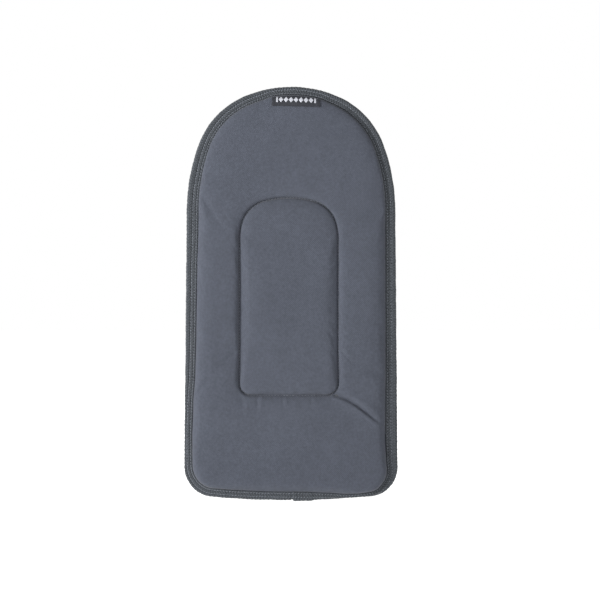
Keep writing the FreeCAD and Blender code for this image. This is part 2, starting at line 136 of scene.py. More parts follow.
class ProtectorColours(bpy.types.PropertyGroup):
    """Colours of the finishes."""

    cover: colour("Cover", "Brushed polyester of the cushion", "#474B55")
    binding: colour("Binding", "Polyester tape round the edge", "#42464B")
    thread: colour("Thread", "Sewing thread of the channel and the hook strips", "#7E838D")
    matched_thread: colour("Binding's thread", "Sewing thread matched to the binding", "#6E737C")
    label: colour("Label", "Ground of the woven label", "#292B32")
    motif: colour("Motif", "Light threads of the label's pattern", "#BDBFC7")
    lining: colour("Lining", "Nylon on the bag side", "#3A3D43")
    hooks: colour("Hook tape", "Nylon hooks and their woven base", "#26282C")
    foam: colour("Foam", "Closed-cell foam", "#3C3E42")
    stiffener: colour("Stiffener", "Polyethylene sheet", "#D8D8D2")
    floor: colour("Floor", "Studio floor", "#F4F4F4")


# ---------------------------------------------------------------------------------------------
# Outlines
# ---------------------------------------------------------------------------------------------


class Outline:
    """Closed line with a three-radius arch, flared sides, round corners and a bowed base.

    The width is that between the arch's feet, and each side is wider by the flare at its lower end. The
    height runs from the base to the crown, and the rise is the arch's share of it. Crown, corner and base
    are radii; the spans are the degrees that the crown's arc and one shoulder's arc take. Middle and hem
    are the place of the base's middle.
    """

    SAMPLES = 4  # for each millimetre of the line

    def __init__(
        self, width, height, rise, crown, crown_span, shoulder_span, flare, corner, base, middle, hem
    ):
        half, foot = width / 2, height - rise
        lean = 0.0
        for _ in range(12):
            across = half + flare - corner * math.cos(lean)
            corner_z = base - math.sqrt((base - corner) ** 2 - across**2)
            lean = math.atan2(flare, foot - corner_z - corner * math.sin(lean))
        top = math.radians(crown_span / 2)
        shoulder_end = top + math.radians(shoulder_span)
        foot_angle = math.pi / 2 - lean
        shoulder, flank = self.arch_radii(half, rise, crown, (top, shoulder_end, foot_angle))
        crown_centre = np.array((0.0, height - crown))
        shoulder_centre = self.polar(crown_centre, crown - shoulder, top)
        flank_centre = self.polar(shoulder_centre, shoulder - flank, shoulder_end)
        corner_centre = np.array((across, corner_z))
        base_angle = math.pi - math.asin(across / (base - corner))
        points, normals = [], []
        runs = [
            (np.array((0.0, base)), base, math.pi, base_angle),
            (corner_centre, corner, base_angle, foot_angle),
            (flank_centre, flank, foot_angle, shoulder_end),
            (shoulder_centre, shoulder, shoulder_end, top),
            (crown_centre, crown, top, 0.0),
        ]
        for centre, radius, first, last in runs:
            count = max(8, int(abs(first - last) * radius * self.SAMPLES))
            for angle in np.linspace(first, last, count)[:-1]:
                points.append(self.polar(centre, radius, angle))
                normals.append((math.sin(angle), math.cos(angle)))
            if radius == corner:
                start = self.polar(centre, radius, last)
                end = self.polar(flank_centre, flank, foot_angle)
                for share in np.linspace(0, 1, int(np.linalg.norm(end - start) * self.SAMPLES))[:-1]:
                    points.append(start + (end - start) * share)
                    normals.append((math.sin(foot_angle), math.cos(foot_angle)))
        right, out = np.array(points), np.array(normals)
        crown_point = np.array([(0.0, height)])
        flip = np.array((-1.0, 1.0))
        self.points = np.vstack((right, crown_point, (right * flip)[:0:-1])) + (middle, hem)
        self.normals = np.vstack((out, ((0.0, 1.0),), (out * flip)[:0:-1]))
        steps = np.linalg.norm(np.diff(np.vstack((self.points, self.points[:1])), axis=0), axis=1)
        self.along = np.concatenate(((0.0,), np.cumsum(steps)))
        self.length = self.along[-1]
        self.tree = KDTree(len(self.points))
        for number, (x, z) in enumerate(self.points):
            self.tree.insert((x, 0.0, z), number)
        self.tree.balance()

    @staticmethod
    def polar(centre, radius, angle):
        """Point at an angle from the upright on a circle."""
        return centre + radius * np.array((math.sin(angle), math.cos(angle)))

    @staticmethod
    def arch_radii(reach, rise, crown, joints):
        """Shoulder and flank radii that lead a crown arc smoothly to the foot of the arch."""
        first, second, third = joints
        across = reach - crown * math.sin(first)
        down = rise - crown * (1 - math.cos(first))
        shoulder_across = math.sin(second) - math.sin(first)
        shoulder_down = math.cos(first) - math.cos(second)
        flank_across = math.sin(third) - math.sin(second)
        flank_down = math.cos(second) - math.cos(third)
        scale = shoulder_across * flank_down - flank_across * shoulder_down
        shoulder = (across * flank_down - flank_across * down) / scale
        return shoulder, (shoulder_across * down - shoulder_down * across) / scale

    def between(self, values, along):
        """Values at distances along the line, from those at its samples."""
        closed = np.vstack((values, values[:1]))
        along = np.mod(along, self.length)
        return np.stack([np.interp(along, self.along, closed[:, k]) for k in (0, 1)], -1)

    def at(self, along, inset=0.0):
        """Points at distances along the line, moved inwards."""
        return self.between(self.points, along) - np.asarray(inset)[..., None] * self.outward(along)

    def outward(self, along):
        """Outward directions at distances along the line."""
        out = self.between(self.normals, along)
        return out / np.linalg.norm(out, axis=-1, keepdims=True)

    def nearest(self, places):
        """How far inside the line each place is, and how far along the line it stands."""
        index = np.array([self.tree.find((x, 0.0, z))[1] for x, z in places], int)
        inside = ((self.points[index] - places) * self.normals[index]).sum(1)
        return inside, self.along[index]

    def radius(self, inset, angles, centre):
        """Distance from a centre to the inset line along rays at given angles."""
        away = self.points - inset * self.normals - centre
        seen = np.unwrap(np.arctan2(away[:, 1], away[:, 0]))
        return np.interp(angles, seen, np.linalg.norm(away, axis=1), period=2 * math.pi)


PAD = Outline(
    width=208.4,
    height=413.0,
    rise=122.9,
    crown=120.5,
    crown_span=44.2,
    shoulder_span=47.8,
    flare=2.3,
    corner=30.0,
    base=960.0,
    middle=0.0,
    hem=-HALF_HEIGHT,
)
CHANNEL = Outline(
    width=98.7,
    height=197.5,
    rise=42.2,
    crown=95.0,
    crown_span=30.0,
    shoulder_span=60.0,
    flare=0.2,
    corner=12.0,
    base=2500.0,
    middle=SEAM_X,
    hem=-HALF_HEIGHT + 104.5,
)

OUTLINE_ERROR = 0.3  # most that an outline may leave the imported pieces
THREAD_HALF = 0.25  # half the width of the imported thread


def check_outline(outline, low, high, beyond=0.0):
    """Stops when an outline is not the one that the frame's pieces are built on."""
    own = np.concatenate((outline.points.min(0) - beyond, outline.points.max(0) + beyond))
    packed = np.array((low.x, low.z - MID_Z, high.x, high.z - MID_Z))
    apart = np.abs(own - packed).max()
    if apart > OUTLINE_ERROR:
        raise RuntimeError("an outline is %.2f mm off the frame's" % apart)


check_outline(PAD, TAPE_LOW, TAPE_HIGH)
check_outline(CHANNEL, SEAM_LOW, SEAM_HIGH, beyond=THREAD_HALF)

# Visible width of the binding on the front, by the place of the panel's edge next to it.
TAPE_SHOWN = [
    ((4.0, -206.5), 7.6), ((12.0, -206.5), 7.4), ((25.0, -206.5), 6.8), ((40.0, -206.0), 5.6),
    ((54.0, -205.5), 4.0), ((70.0, -204.5), 3.5), ((84.0, -200.0), 4.6), ((98.0, -192.0), 8.0),
    ((106.5, -170.0), 10.5), ((106.0, -140.0), 11.4), ((105.5, -90.0), 10.6), ((105.0, -40.0), 10.0),
    ((104.5, 60.0), 9.4), ((104.0, 120.0), 9.2), ((80.0, 172.0), 9.6), ((42.0, 199.5), 9.0),
    ((33.0, 202.0), 7.8), ((0.0, 206.5), 7.6), ((-22.0, 204.5), 7.8), ((-30.0, 202.5), 9.0),
    ((-80.0, 172.0), 10.2), ((-104.0, 120.0), 11.2), ((-104.5, 60.0), 11.1), ((-104.5, 30.0), 10.4),
    ((-105.0, -46.0), 10.0), ((-105.5, -86.0), 9.3), ((-106.0, -106.0), 7.8), ((-106.0, -140.0), 7.0),
    ((-106.5, -166.0), 7.4), ((-104.0, -185.0), 8.4), ((-90.0, -199.0), 8.2), ((-60.0, -205.0), 7.8),
]


def tape_shown(along):
    """Visible width of the binding at distances along the panel's edge."""
    _, stations = PAD.nearest(np.array([place for place, width in TAPE_SHOWN]))
    widths = np.array([width for place, width in TAPE_SHOWN])
    order = np.argsort(stations)
    fine = np.arange(0, PAD.length, 2.0)
    shown = np.interp(fine, stations[order], widths[order], period=PAD.length)
    for _ in range(4):
        shown = (np.roll(shown, 1) + 2 * shown + np.roll(shown, -1)) / 4
    return np.interp(np.mod(along, PAD.length), fine, shown, period=PAD.length)


# ---------------------------------------------------------------------------------------------
# The cushion's form
# ---------------------------------------------------------------------------------------------


def turned(x, z, angle):
    """Places turned about the origin."""
    return x * math.cos(angle) - z * math.sin(angle), x * math.sin(angle) + z * math.cos(angle)


def hump(distance, width):
    """Bell curve: 1 at no distance, falling off over a width."""
    return np.exp(-((distance / width) ** 2))


def waves(x, z, seed, size, count=7):
    """Smooth unevenness between about -1 and 1, with hollows and rises about one size across."""
    draw = np.random.default_rng(seed)
    total = np.zeros_like(x)
    for _ in range(count):
        turn, phase = draw.uniform(0, 2 * math.pi, 2)
        reach = size * draw.uniform(0.7, 1.6)
        total += np.sin(2 * math.pi * (x * math.cos(turn) + z * math.sin(turn)) / reach + phase)
    return total / math.sqrt(count)


def rounded_step(share, power):
    """A round shoulder: rises steeply from 0 and levels out at 1."""
    share = np.clip(share, 0, 1)
    return (1 - (1 - share) ** power) ** (1 / power)


EDGE_FLAT = 0.35  # of the cover beside the tape, before it starts to rise
THREAD_PULL, THREAD_REACH = 0.9, 0.95  # how deep the thread pulls the cover in, and how far on each side


def cover_form(x, z, sizes, drawn_in=0.0):
    """Height of the cover's face before the filling swells it, or of a layer drawn in from its edge."""
    places = np.stack((x, z), 1)
    inside, along = PAD.nearest(places)
    seam, _ = CHANNEL.nearest(places)
    under_tape = TAPE_FRONT - sizes.tape_cloth / MM - TAPE_GAP
    from_tape = inside - tape_shown(along) - EDGE_FLAT - drawn_in
    edge = rounded_step(from_tape / (sizes.edge_round / MM), 2.7)
    inner = rounded_step(seam / (sizes.panel_round / MM), 2.4)
    outer = rounded_step(-seam / (sizes.field_round / MM), 2.3)
    fallen = sizes.groove / MM * (1 - np.where(seam > 0, inner, outer))
    pulled = THREAD_PULL * hump(seam, THREAD_REACH)
    return under_tape + (COVER_FRONT - under_tape) * edge - fallen - pulled


def smooth_line(points, count=120):
    """A smooth curve through a few points."""
    points = np.array(points, float)
    steps = np.concatenate(((0,), np.cumsum(np.linalg.norm(np.diff(points, axis=0), axis=1))))
    fine = np.linspace(0, steps[-1], count)
    line = np.stack([np.interp(fine, steps, points[:, k]) for k in (0, 1)], 1)
    for _ in range(60):
        line[1:-1] = (line[:-2] + 2 * line[1:-1] + line[2:]) / 4
    return line


# A pulled fold that runs from the seam's lower right corner towards the binding, and the left, right,
# bottom and top of all that it moves.
FOLD = smooth_line(
    [
        (41.0, -101.0), (47.0, -102.5), (53.0, -104.8), (61.0, -109.0), (68.0, -113.8),
        (76.0, -119.8), (82.0, -124.8), (87.0, -128.4), (91.0, -129.6),
    ]
)
FOLD_AREA = (30, 102, -150, -84)
FOLD_REACH_SQUARED = 30.0  # of how far from the fold's line the cover's mesh is made finer
# Short puckers that the seams pull: middle, half length, half width, turn from the upright, depth.
PUCKERS = [
    ((-33.5, -109.5), 7.0, 1.7, 0.05, 0.65),
    ((-48.0, -112.5), 9.0, 1.9, -0.15, 0.70),
    ((-8.0, -107.5), 5.5, 1.6, 0.0, 0.45),
    ((20.0, -107.0), 4.5, 1.5, 0.1, 0.35),
    ((-55.0, 98.5), 9.5, 2.2, 1.35, 0.75),
    ((55.5, 60.0), 5.0, 1.8, 1.45, 0.25),
    ((56.0, -20.0), 5.0, 1.8, 1.6, 0.25),
    ((-60.0, -60.0), 6.0, 2.0, 1.5, 0.25),
]


def cover_detail(x, z):
    """Folds, puckers, stitch dimples and unevenness on the swollen cover."""
    places = np.stack((x, z), 1)
    inside, along = PAD.nearest(places)
    seam, seam_along = CHANNEL.nearest(places)
    level = np.zeros_like(along)
    beside = inside - tape_shown(along)
    clear = np.clip(beside / 3, 0, 1)
    rise = 0.42 * waves(x, z, seed=4, size=75) + 0.10 * waves(x, z, seed=9, size=21)
    rise += 0.035 * waves(x, z, seed=12, size=8)
    rise *= clear * np.clip(np.abs(seam) / 8, 0, 1)
    pull = 0.5 + 0.5 * waves(along / 4, level, seed=21, size=30)
    near = np.exp(-np.clip(beside, 0, None) / 3.2)
    gathers = np.cos(2 * math.pi * (along / 4.1) + 2.5 * waves(along, level, seed=5, size=60))
    rise += 0.20 * pull * near * clear * gathers
    holes = np.cos(2 * math.pi * seam_along / STITCH_PITCH)
    rise += 0.14 * holes * hump(np.abs(seam) - 1.3, 1.0)
    rise += 0.10 * hump(np.abs(seam) - 3.2, 2.4) * waves(seam_along, level, seed=31, size=11)
    for (px, pz), long, wide, turn, deep in PUCKERS:
        across, run = turned(x - px, z - pz, turn)
        rise -= deep * hump(run, long) * (hump(across, wide) - 0.5 * hump(across - 2.4 * wide, wide))
    return rise + fold_detail(x, z)


def fold_detail(x, z):
    """The pulled fold: a valley, steep on its lower side, between a soft lip above and a roll below."""
    rise = np.zeros_like(x)
    left, right, bottom, top = FOLD_AREA
    near = np.nonzero((x > left) & (x < right) & (z > bottom) & (z < top))[0]
    if not len(near):
        return rise
    away = np.stack((x[near], z[near]), 1)[:, None, :] - FOLD[None]
    index = np.argmin((away**2).sum(2), 1)
    tangent = np.gradient(FOLD, axis=0)
    tangent /= np.linalg.norm(tangent, axis=1, keepdims=True)
    ahead = tangent[index]
    offset = away[np.arange(len(near)), index]
    side = offset[:, 1] * ahead[:, 0] - offset[:, 0] * ahead[:, 1]
    past = np.abs((offset * ahead).sum(1))
    share = index / (len(FOLD) - 1)
    strength = np.clip(share / 0.05, 0, 1) * np.clip((1 - share) / 0.22, 0, 1) ** 0.7
    strength *= hump(past, 3) * (0.8 + 0.35 * np.sin(3.2 * share + 0.4))
    steep = 0.8 + 0.9 * hump(share, 0.22)
    valley = -2.1 * hump(side, np.where(side < 0, steep, 2.9))
    lip = 0.75 * hump(side - 7.0, 3.6)
    roll = 0.5 * hump(side + 2.6, 2.2)
    rise[near] = strength * (valley + lip + roll)
    return rise


class Rings:
    """Rings of points from under the binding, past the sewn channel, to a line in the middle."""

    BLEND_PAD, BLEND_SEAM = 22.5, -13.0  # where the field's rings take over from the edge's and the seam's
    SPINE = 66.0  # half the length of the line in the middle

    def __init__(self, rays):
        self.rays = rays
        along = np.arange(rays) * CHANNEL.length / rays
        middle = CHANNEL.at(along, np.full(rays, -25.0)) - HEART
        self.angles = np.arctan2(middle[:, 1], middle[:, 0])
        self.unit = np.stack((np.cos(self.angles), np.sin(self.angles)), 1)
        self.insets = np.arange(0, 31, 1.5)
        self.edge = np.array([PAD.radius(inset, self.angles, HEART) for inset in self.insets])
        _, self.along = PAD.nearest(HEART + self.unit * self.edge[6][:, None])
        self.shown = tape_shown(self.along)

    def from_edge(self, inset):
        """Ring at an inset, which may differ from ray to ray."""
        inset = np.broadcast_to(inset, (self.rays,))
        step = self.insets[1]
        low = np.clip((inset / step).astype(int), 0, len(self.insets) - 2)
        share = inset / step - low
        ray = np.arange(self.rays)
        return self.edge[low, ray] * (1 - share) + self.edge[low + 1, ray] * share

    def ring(self, kind, value):
        """Points of one ring."""
        if kind == "edge":
            radius = self.from_edge(np.maximum(self.shown + value, 2.0 + 0.15 * (value + 12)))
        elif kind == "field":
            start = self.from_edge(self.BLEND_PAD)
            end = CHANNEL.radius(self.BLEND_SEAM, self.angles, HEART)
            radius = start * (1 - value) + end * value
        elif kind == "seam":
            radius = CHANNEL.radius(value, self.angles, HEART)
        else:
            outer = HEART + self.unit * CHANNEL.radius(9.0, self.angles, HEART)[:, None]
            half = np.minimum(np.arange(self.rays), self.rays - np.arange(self.rays)) / (self.rays / 2)
            height = HEART[1] - self.SPINE + 2 * self.SPINE * half
            spine = np.stack((np.full(self.rays, HEART[0]), height), 1)
            return outer * (1 - value) + spine * value
        return HEART + self.unit * radius[:, None]

    def grid(self, plan):
        """All the points, ring by ring, and the faces between them."""
        rings = [self.ring(*entry) for entry in plan]
        rays, last = self.rays, len(plan) - 1
        points = np.vstack(rings[:-1] + [rings[-1][: rays // 2 + 1]])
        corner = np.arange(rays)
        after = np.roll(corner, -1)
        faces = []
        for ring in range(last):
            inner, inner_after = corner, after
            if ring + 1 == last:
                inner, inner_after = np.minimum(corner, rays - corner), np.minimum(after, rays - after)
            here, there = ring * rays, (ring + 1) * rays
            faces.append(np.stack((here + corner, here + after, there + inner_after, there + inner), 1))
        return points, np.vstack(faces)


EDGE_STEPS = (-12.0, -4.0, -1.5, -0.4, 0.05, 0.45, 0.95, 1.6, 2.4, 3.3, 4.4, 5.7, 7.2, 8.9)
FIELD_STEPS = tuple(np.linspace(0, 1, 13)[:-1])
SEAM_STEPS = (-13.0, -10.0, -7.8, -6.2, -5.0, -4.0, -3.1, -2.3, -1.6, -1.0, -0.5, 0.0)
SEAM_STEPS += (0.5, 1.0, 1.6, 2.3, 3.1, 4.0, 5.1, 6.3, 7.6, 9.0)
HEART_STEPS = (0.06, 0.14, 0.24, 0.36, 0.5, 0.66, 0.83, 1.0)
PLAN = [("edge", step) for step in EDGE_STEPS] + [("field", step) for step in FIELD_STEPS]
PLAN += [("seam", step) for step in SEAM_STEPS] + [("heart", step) for step in HEART_STEPS]


# ---------------------------------------------------------------------------------------------
# Making meshes
# ---------------------------------------------------------------------------------------------


def placed(x, h, z):
    """Points of the frame, in metres, from millimetres on the panel."""
    return np.stack((np.asarray(x), LINING_Y - np.asarray(h), MID_Z + np.asarray(z)), -1) * MM


def only(piece=None):
    """Object mode, with nothing selected but one piece."""
    if bpy.context.object and bpy.context.object.mode != "OBJECT":
        bpy.ops.object.mode_set(mode="OBJECT")
    bpy.ops.object.select_all(action="DESELECT")
    if piece is not None:
        piece.select_set(True)
        bpy.context.view_layer.objects.active = piece


def smooth_shaded(mesh):
    """Shades every face of a mesh smooth."""
    mesh.polygons.foreach_set("use_smooth", np.ones(len(mesh.polygons), bool))


def mesh_piece(name, points, faces):
    """Object with its place in its mesh, shaded smooth."""
    mesh = bpy.data.meshes.new(name)
    mesh.from_pydata(np.asarray(points).tolist(), [], [list(map(int, face)) for face in faces])
    mesh.update()
    smooth_shaded(mesh)
    piece = bpy.data.objects.new(name, mesh)
    bpy.context.scene.collection.objects.link(piece)
    return piece


def sheet_faces(rows, columns):
    """Faces of a grid of points that is numbered row by row."""
    corner = (np.arange(rows - 1)[:, None] * columns + np.arange(columns - 1)).ravel()
    return np.stack((corner, corner + 1, corner + columns + 1, corner + columns), 1)


def coordinates(piece):
    """The points of a piece's mesh."""
    values = np.zeros(len(piece.data.vertices) * 3)
    piece.data.vertices.foreach_get("co", values)
    return values.reshape(-1, 3)


def pattern(piece):
    """Points and faces of a piece that others are copied from, which is then removed."""
    points = coordinates(piece)
    faces = [tuple(face.vertices) for face in piece.data.polygons]
    mesh = piece.data
    bpy.data.objects.remove(piece)
    bpy.data.meshes.remove(mesh)
    return points, faces


def copies(faces, count, points):
    """Faces of many copies of a pattern that has a number of points."""
    return [tuple(corner + number * points for corner in face) for number in range(count) for face in faces]


def move_points(piece, values):
    """Puts the points of a piece's mesh at new places."""
    piece.data.vertices.foreach_set("co", np.asarray(values, float).ravel())
    piece.data.update()


def apply_modifier(piece, kind, **settings):
    """Adds one modifier to a piece and applies it."""
    modifier = piece.modifiers.new(kind, kind)
    for setting, value in settings.items():
        setattr(modifier, setting, value)
    only(piece)
    bpy.ops.object.modifier_apply(modifier=modifier.name)


def finished(piece, node_names, material):
    """Gives a finished piece its material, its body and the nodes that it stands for."""
    piece.data.materials.clear()
    piece.data.materials.append(material)
    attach(piece, "root")
    if node_names:
        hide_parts(*node_names)
    return piece


def add_map(piece, values):
    """UV map, in millimetres of cloth, from one pair of values for each point."""
    layer = piece.data.uv_layers.new(name="Cloth")
    index = np.zeros(len(piece.data.loops), int)
    piece.data.loops.foreach_get("vertex_index", index)
    layer.data.foreach_set("uv", np.asarray(values, float)[index].ravel())


# ---------------------------------------------------------------------------------------------
# Finishes
# ---------------------------------------------------------------------------------------------


def add(tree, kind, settings=None, **sockets):
    """Adds a node; a socket's value may be another node's output."""
    node = tree.nodes.new("ShaderNode" + kind)
    for name, value in (settings or {}).items():
        setattr(node, name, value)
    for name, value in sockets.items():
        key = int(name[1:]) if name[0] == "i" and name[1:].isdigit() else name.replace("_", " ")
        if isinstance(value, bpy.types.NodeSocket):
            tree.links.new(value, node.inputs[key])
        else:
            node.inputs[key].default_value = value
    return node


def new_material(name):
    """Empty material with its shader and output; returns it, its tree and its shader."""
    material = bpy.data.materials.new(name)
    material.use_nodes = True
    tree = material.node_tree
    tree.nodes.clear()
    shader = add(tree, "BsdfPrincipled")
    add(tree, "OutputMaterial", Surface=shader.outputs[0])
    return material, tree, shader


def object_place(tree):
    """Object coordinates, whole and split into their three axes."""
    place = add(tree, "TexCoord").outputs["Object"]
    return place, add(tree, "SeparateXYZ", Vector=place).outputs


def dress(tree, shader, tone, height, strength, depth, roughness, **sockets):
    """Gives a shader its colour, its bump and the values that are the same all over."""
    bump = add(tree, "Bump", Strength=strength, Distance=depth, Height=height)
    tree.links.new(tone, shader.inputs["Base Color"])
    tree.links.new(bump.outputs[0], shader.inputs["Normal"])
    shader.inputs["Roughness"].default_value = roughness
    for name, value in sockets.items():
        shader.inputs[name.replace("_", " ")].default_value = value


def shade(base, factor):
    """A colour with four values, lighter or darker than a base."""
    return [min(1.0, value * factor) for value in base] + [1.0]


def threads(tree, across, pitch, other=None):
    """Waves of one set of threads across a coordinate, or of two crossing sets."""
    first = add(tree, "Math", {"operation": "MULTIPLY"}, i0=across, i1=2 * math.pi / pitch)
    first = add(tree, "Math", {"operation": "SINE"}, i0=first.outputs[0])
    if other is None:
        return first.outputs[0]
    second = add(tree, "Math", {"operation": "MULTIPLY"}, i0=other, i1=2 * math.pi / pitch)
    second = add(tree, "Math", {"operation": "SINE"}, i0=second.outputs[0])
    return add(tree, "Math", {"operation": "MULTIPLY"}, i0=first.outputs[0], i1=second.outputs[0]).outputs[0]


def mixed(tree, factor, first, second, blend="MIX"):
    """Mix of two colours."""
    node = add(tree, "Mix", {"data_type": "RGBA", "blend_type": blend}, i0=factor, i6=first, i7=second)
    return node.outputs[2]


def two_tone(tree, factor, base, dark, light):
    """Colour between a darker and a lighter shade, by a factor around zero."""
    level = add(tree, "MapRange", i0=factor, i1=-1.0, i2=1.0)
    return mixed(tree, level.outputs[0], shade(base, dark), shade(base, light))


def mottled(tree, tone, vector, size, amount):
    """Multiplies a colour by soft clouds of a size in metres."""
    cloud = add(tree, "TexNoise", Vector=vector, Scale=1 / size, Detail=3.0, Roughness=0.6)
    level = add(tree, "MapRange", i0=cloud.outputs["Fac"], i1=0.3, i2=0.7, i3=1 - amount, i4=1 + amount)
    grey = add(tree, "CombineColor", i0=level.outputs[0], i1=level.outputs[0], i2=level.outputs[0])
    return mixed(tree, 1.0, tone, grey.outputs[0], "MULTIPLY")


def stretched_noise(tree, place, scale):
    """Noise drawn out along the axes that have a small scale."""
    drawn = add(tree, "Mapping", Vector=place)
    drawn.inputs["Scale"].default_value = scale
    return add(tree, "TexNoise", Vector=drawn.outputs[0], Scale=1.0, Detail=2.0).outputs["Fac"]


def woven_cloth(name, base, pitch, relief, sheen, roughness, dark, light):
    """Plain weave over the panel's own plane: fine checks of crossing threads, faint clouds and slubs."""
    material, tree, shader = new_material(name)
    place, axes = object_place(tree)
    weave = threads(tree, axes[0], pitch, axes[2])
    tone = two_tone(tree, weave, base, dark, light)
    tone = mottled(tree, tone, place, size=0.030, amount=0.05)
    tone = mottled(tree, tone, place, size=0.0025, amount=0.13)
    slubs = stretched_noise(tree, place, (90, 90, 900))
    rise = add(tree, "Math", {"operation": "MULTIPLY_ADD"}, i0=slubs, i1=0.8, i2=weave)
    dress(
        tree, shader, tone, rise.outputs[0], strength=0.7, depth=relief, roughness=roughness,
        Sheen_Weight=sheen, Sheen_Roughness=0.5, Specular_IOR_Level=0.25,
    )
    return material


def polyester_cover(colours):
    """Brushed polyester plain weave: matt, with a faint nap that lifts the tone at grazing angles.
    Its threads are 0.5 mm apart and are drawn at 1.0 mm, so that they still show at arm's length."""
    return woven_cloth(
        "Polyester_plain_weave_brushed", colours.cover,
        pitch=0.0020, relief=0.00012, sheen=0.15, roughness=0.88, dark=0.82, light=1.16,
    )


def nylon_lining(colours):
    """Coated nylon taffeta: smoother and darker than the cover, with a slight gloss.
    Its threads are 0.3 mm apart and are drawn at 0.8 mm."""
    return woven_cloth(
        "Nylon_taffeta_coated", colours.lining,
        pitch=0.0016, relief=0.00005, sheen=0.1, roughness=0.6, dark=0.93, light=1.06,
    )


def herringbone_tape(colours):
    """Polyester herringbone tape: ribs slant one way and then the other across the width, so the edge
    shows small nubs; the weave's raised parts are drawn lighter and its hollows darker.
    Ribs are 1.6 mm apart and are drawn at 2.7 mm."""
    material, tree, shader = new_material("Polyester_herringbone_tape_woven")
    band, rib = 2.1, 2.7  # millimetres of cloth, as the tape's own map has
    cloth = add(tree, "UVMap", {"uv_map": "Cloth"}).outputs[0]
    axes = add(tree, "SeparateXYZ", Vector=cloth).outputs
    zigzag = add(tree, "Math", {"operation": "PINGPONG"}, i0=axes[1], i1=band)
    slant = add(tree, "Math", {"operation": "MULTIPLY_ADD"}, i0=zigzag.outputs[0], i1=0.85, i2=axes[0])
    ribs = threads(tree, slant.outputs[0], rib)
    spine = threads(tree, axes[1], band)
    weave = add(tree, "Math", {"operation": "MULTIPLY_ADD"}, i0=spine, i1=0.3, i2=ribs).outputs[0]
    place = add(tree, "TexCoord").outputs["Object"]
    tone = two_tone(tree, weave, colours.binding, dark=0.76, light=1.20)
    tone = mottled(tree, tone, place, size=0.003, amount=0.14)
    tone = mottled(tree, tone, place, size=0.020, amount=0.05)
    dress(
        tree, shader, tone, weave, strength=0.8, depth=0.00034, roughness=0.85,
        Sheen_Weight=0.2, Specular_IOR_Level=0.25,
    )
    return material


def spun_thread(name, base):
    """Spun polyester sewing thread: two plies whose twist shows as slanting glints."""
    material, tree, shader = new_material(name)
    place, axes = object_place(tree)
    slant = add(tree, "Math", {"operation": "ADD"}, i0=axes[0], i1=axes[2])
    twist = threads(tree, slant.outputs[0], 0.0009)
    tone = mottled(tree, two_tone(tree, twist, base, dark=0.8, light=1.15), place, size=0.002, amount=0.12)
    dress(tree, shader, tone, twist, strength=0.5, depth=0.00008, roughness=0.6, Sheen_Weight=0.3)
    return material


def light_thread(colours):
    """The thread of the channel and the hook strips."""
    return spun_thread("Polyester_thread_spun", colours.thread)


def matched_thread(colours):
    """The binding's thread, dyed close to its tape."""
    return spun_thread("Polyester_thread_spun_matched", colours.matched_thread)


def damask_label(colours):
    """Damask label of fine polyester satin: smooth, dark, with weft lines 0.25 mm apart drawn at 0.8 mm."""
    material, tree, shader = new_material("Polyester_damask_label_woven")
    place, axes = object_place(tree)
    weft = threads(tree, axes[2], 0.0008)
    tone = two_tone(tree, weft, colours.label, dark=0.82, light=1.18)
    tone = mottled(tree, tone, place, size=0.0015, amount=0.15)
    dress(tree, shader, tone, weft, strength=0.5, depth=0.00006, roughness=0.5)
    return material


def motif_floats(colours):
    """Bright trilobal polyester weft floats that form the label's pattern: light, with fine lines."""
    material, tree, shader = new_material("Polyester_weft_floats_bright")
    _, axes = object_place(tree)
    weft = threads(tree, axes[2], 0.0008)
    tone = two_tone(tree, weft, colours.motif, dark=0.88, light=1.04)
    dress(tree, shader, tone, weft, strength=0.5, depth=0.00005, roughness=0.45)
    return material


def nylon_hooks(colours):
    """Nylon hook tape: a tight woven base and extruded monofilament hooks with small glints."""
    material, tree, shader = new_material("Nylon_hook_tape_woven")
    place, axes = object_place(tree)
    weave = threads(tree, axes[0], 0.0012, axes[2])
    tone = two_tone(tree, weave, colours.hooks, dark=0.8, light=1.25)
    tone = mottled(tree, tone, place, size=0.004, amount=0.1)
    dress(tree, shader, tone, weave, strength=0.6, depth=0.00008, roughness=0.42)
    return material


def cellular_foam(colours):
    """Closed-cell polyethylene foam, cut: dull, with open cells 0.6 mm across that are drawn at 1.2 mm."""
    material, tree, shader = new_material("Polyethylene_foam_closed_cell")
    place = add(tree, "TexCoord").outputs["Object"]
    cells = add(tree, "TexVoronoi", Vector=place, Scale=1 / 0.0012).outputs["Distance"]
    tone = two_tone(tree, cells, colours.foam, dark=0.9, light=1.2)
    tone = mottled(tree, tone, place, size=0.006, amount=0.08)
    dress(tree, shader, tone, cells, strength=0.6, depth=0.0002, roughness=0.92)
    return material


def milky_sheet(colours):
    """Extruded polyethylene sheet: milky, waxy and slightly translucent, with faint draw lines."""
    material, tree, shader = new_material("Polyethylene_sheet_extruded")
    place = add(tree, "TexCoord").outputs["Object"]
    lines = stretched_noise(tree, place, (900, 900, 12))
    tone = two_tone(tree, lines, colours.stiffener, dark=0.97, light=1.02)
    tone = mottled(tree, tone, place, size=0.02, amount=0.03)
    dress(
        tree, shader, tone, lines, strength=0.2, depth=0.00003, roughness=0.38,
        Subsurface_Weight=0.2, Subsurface_Radius=(0.002, 0.002, 0.002),
    )
    return material


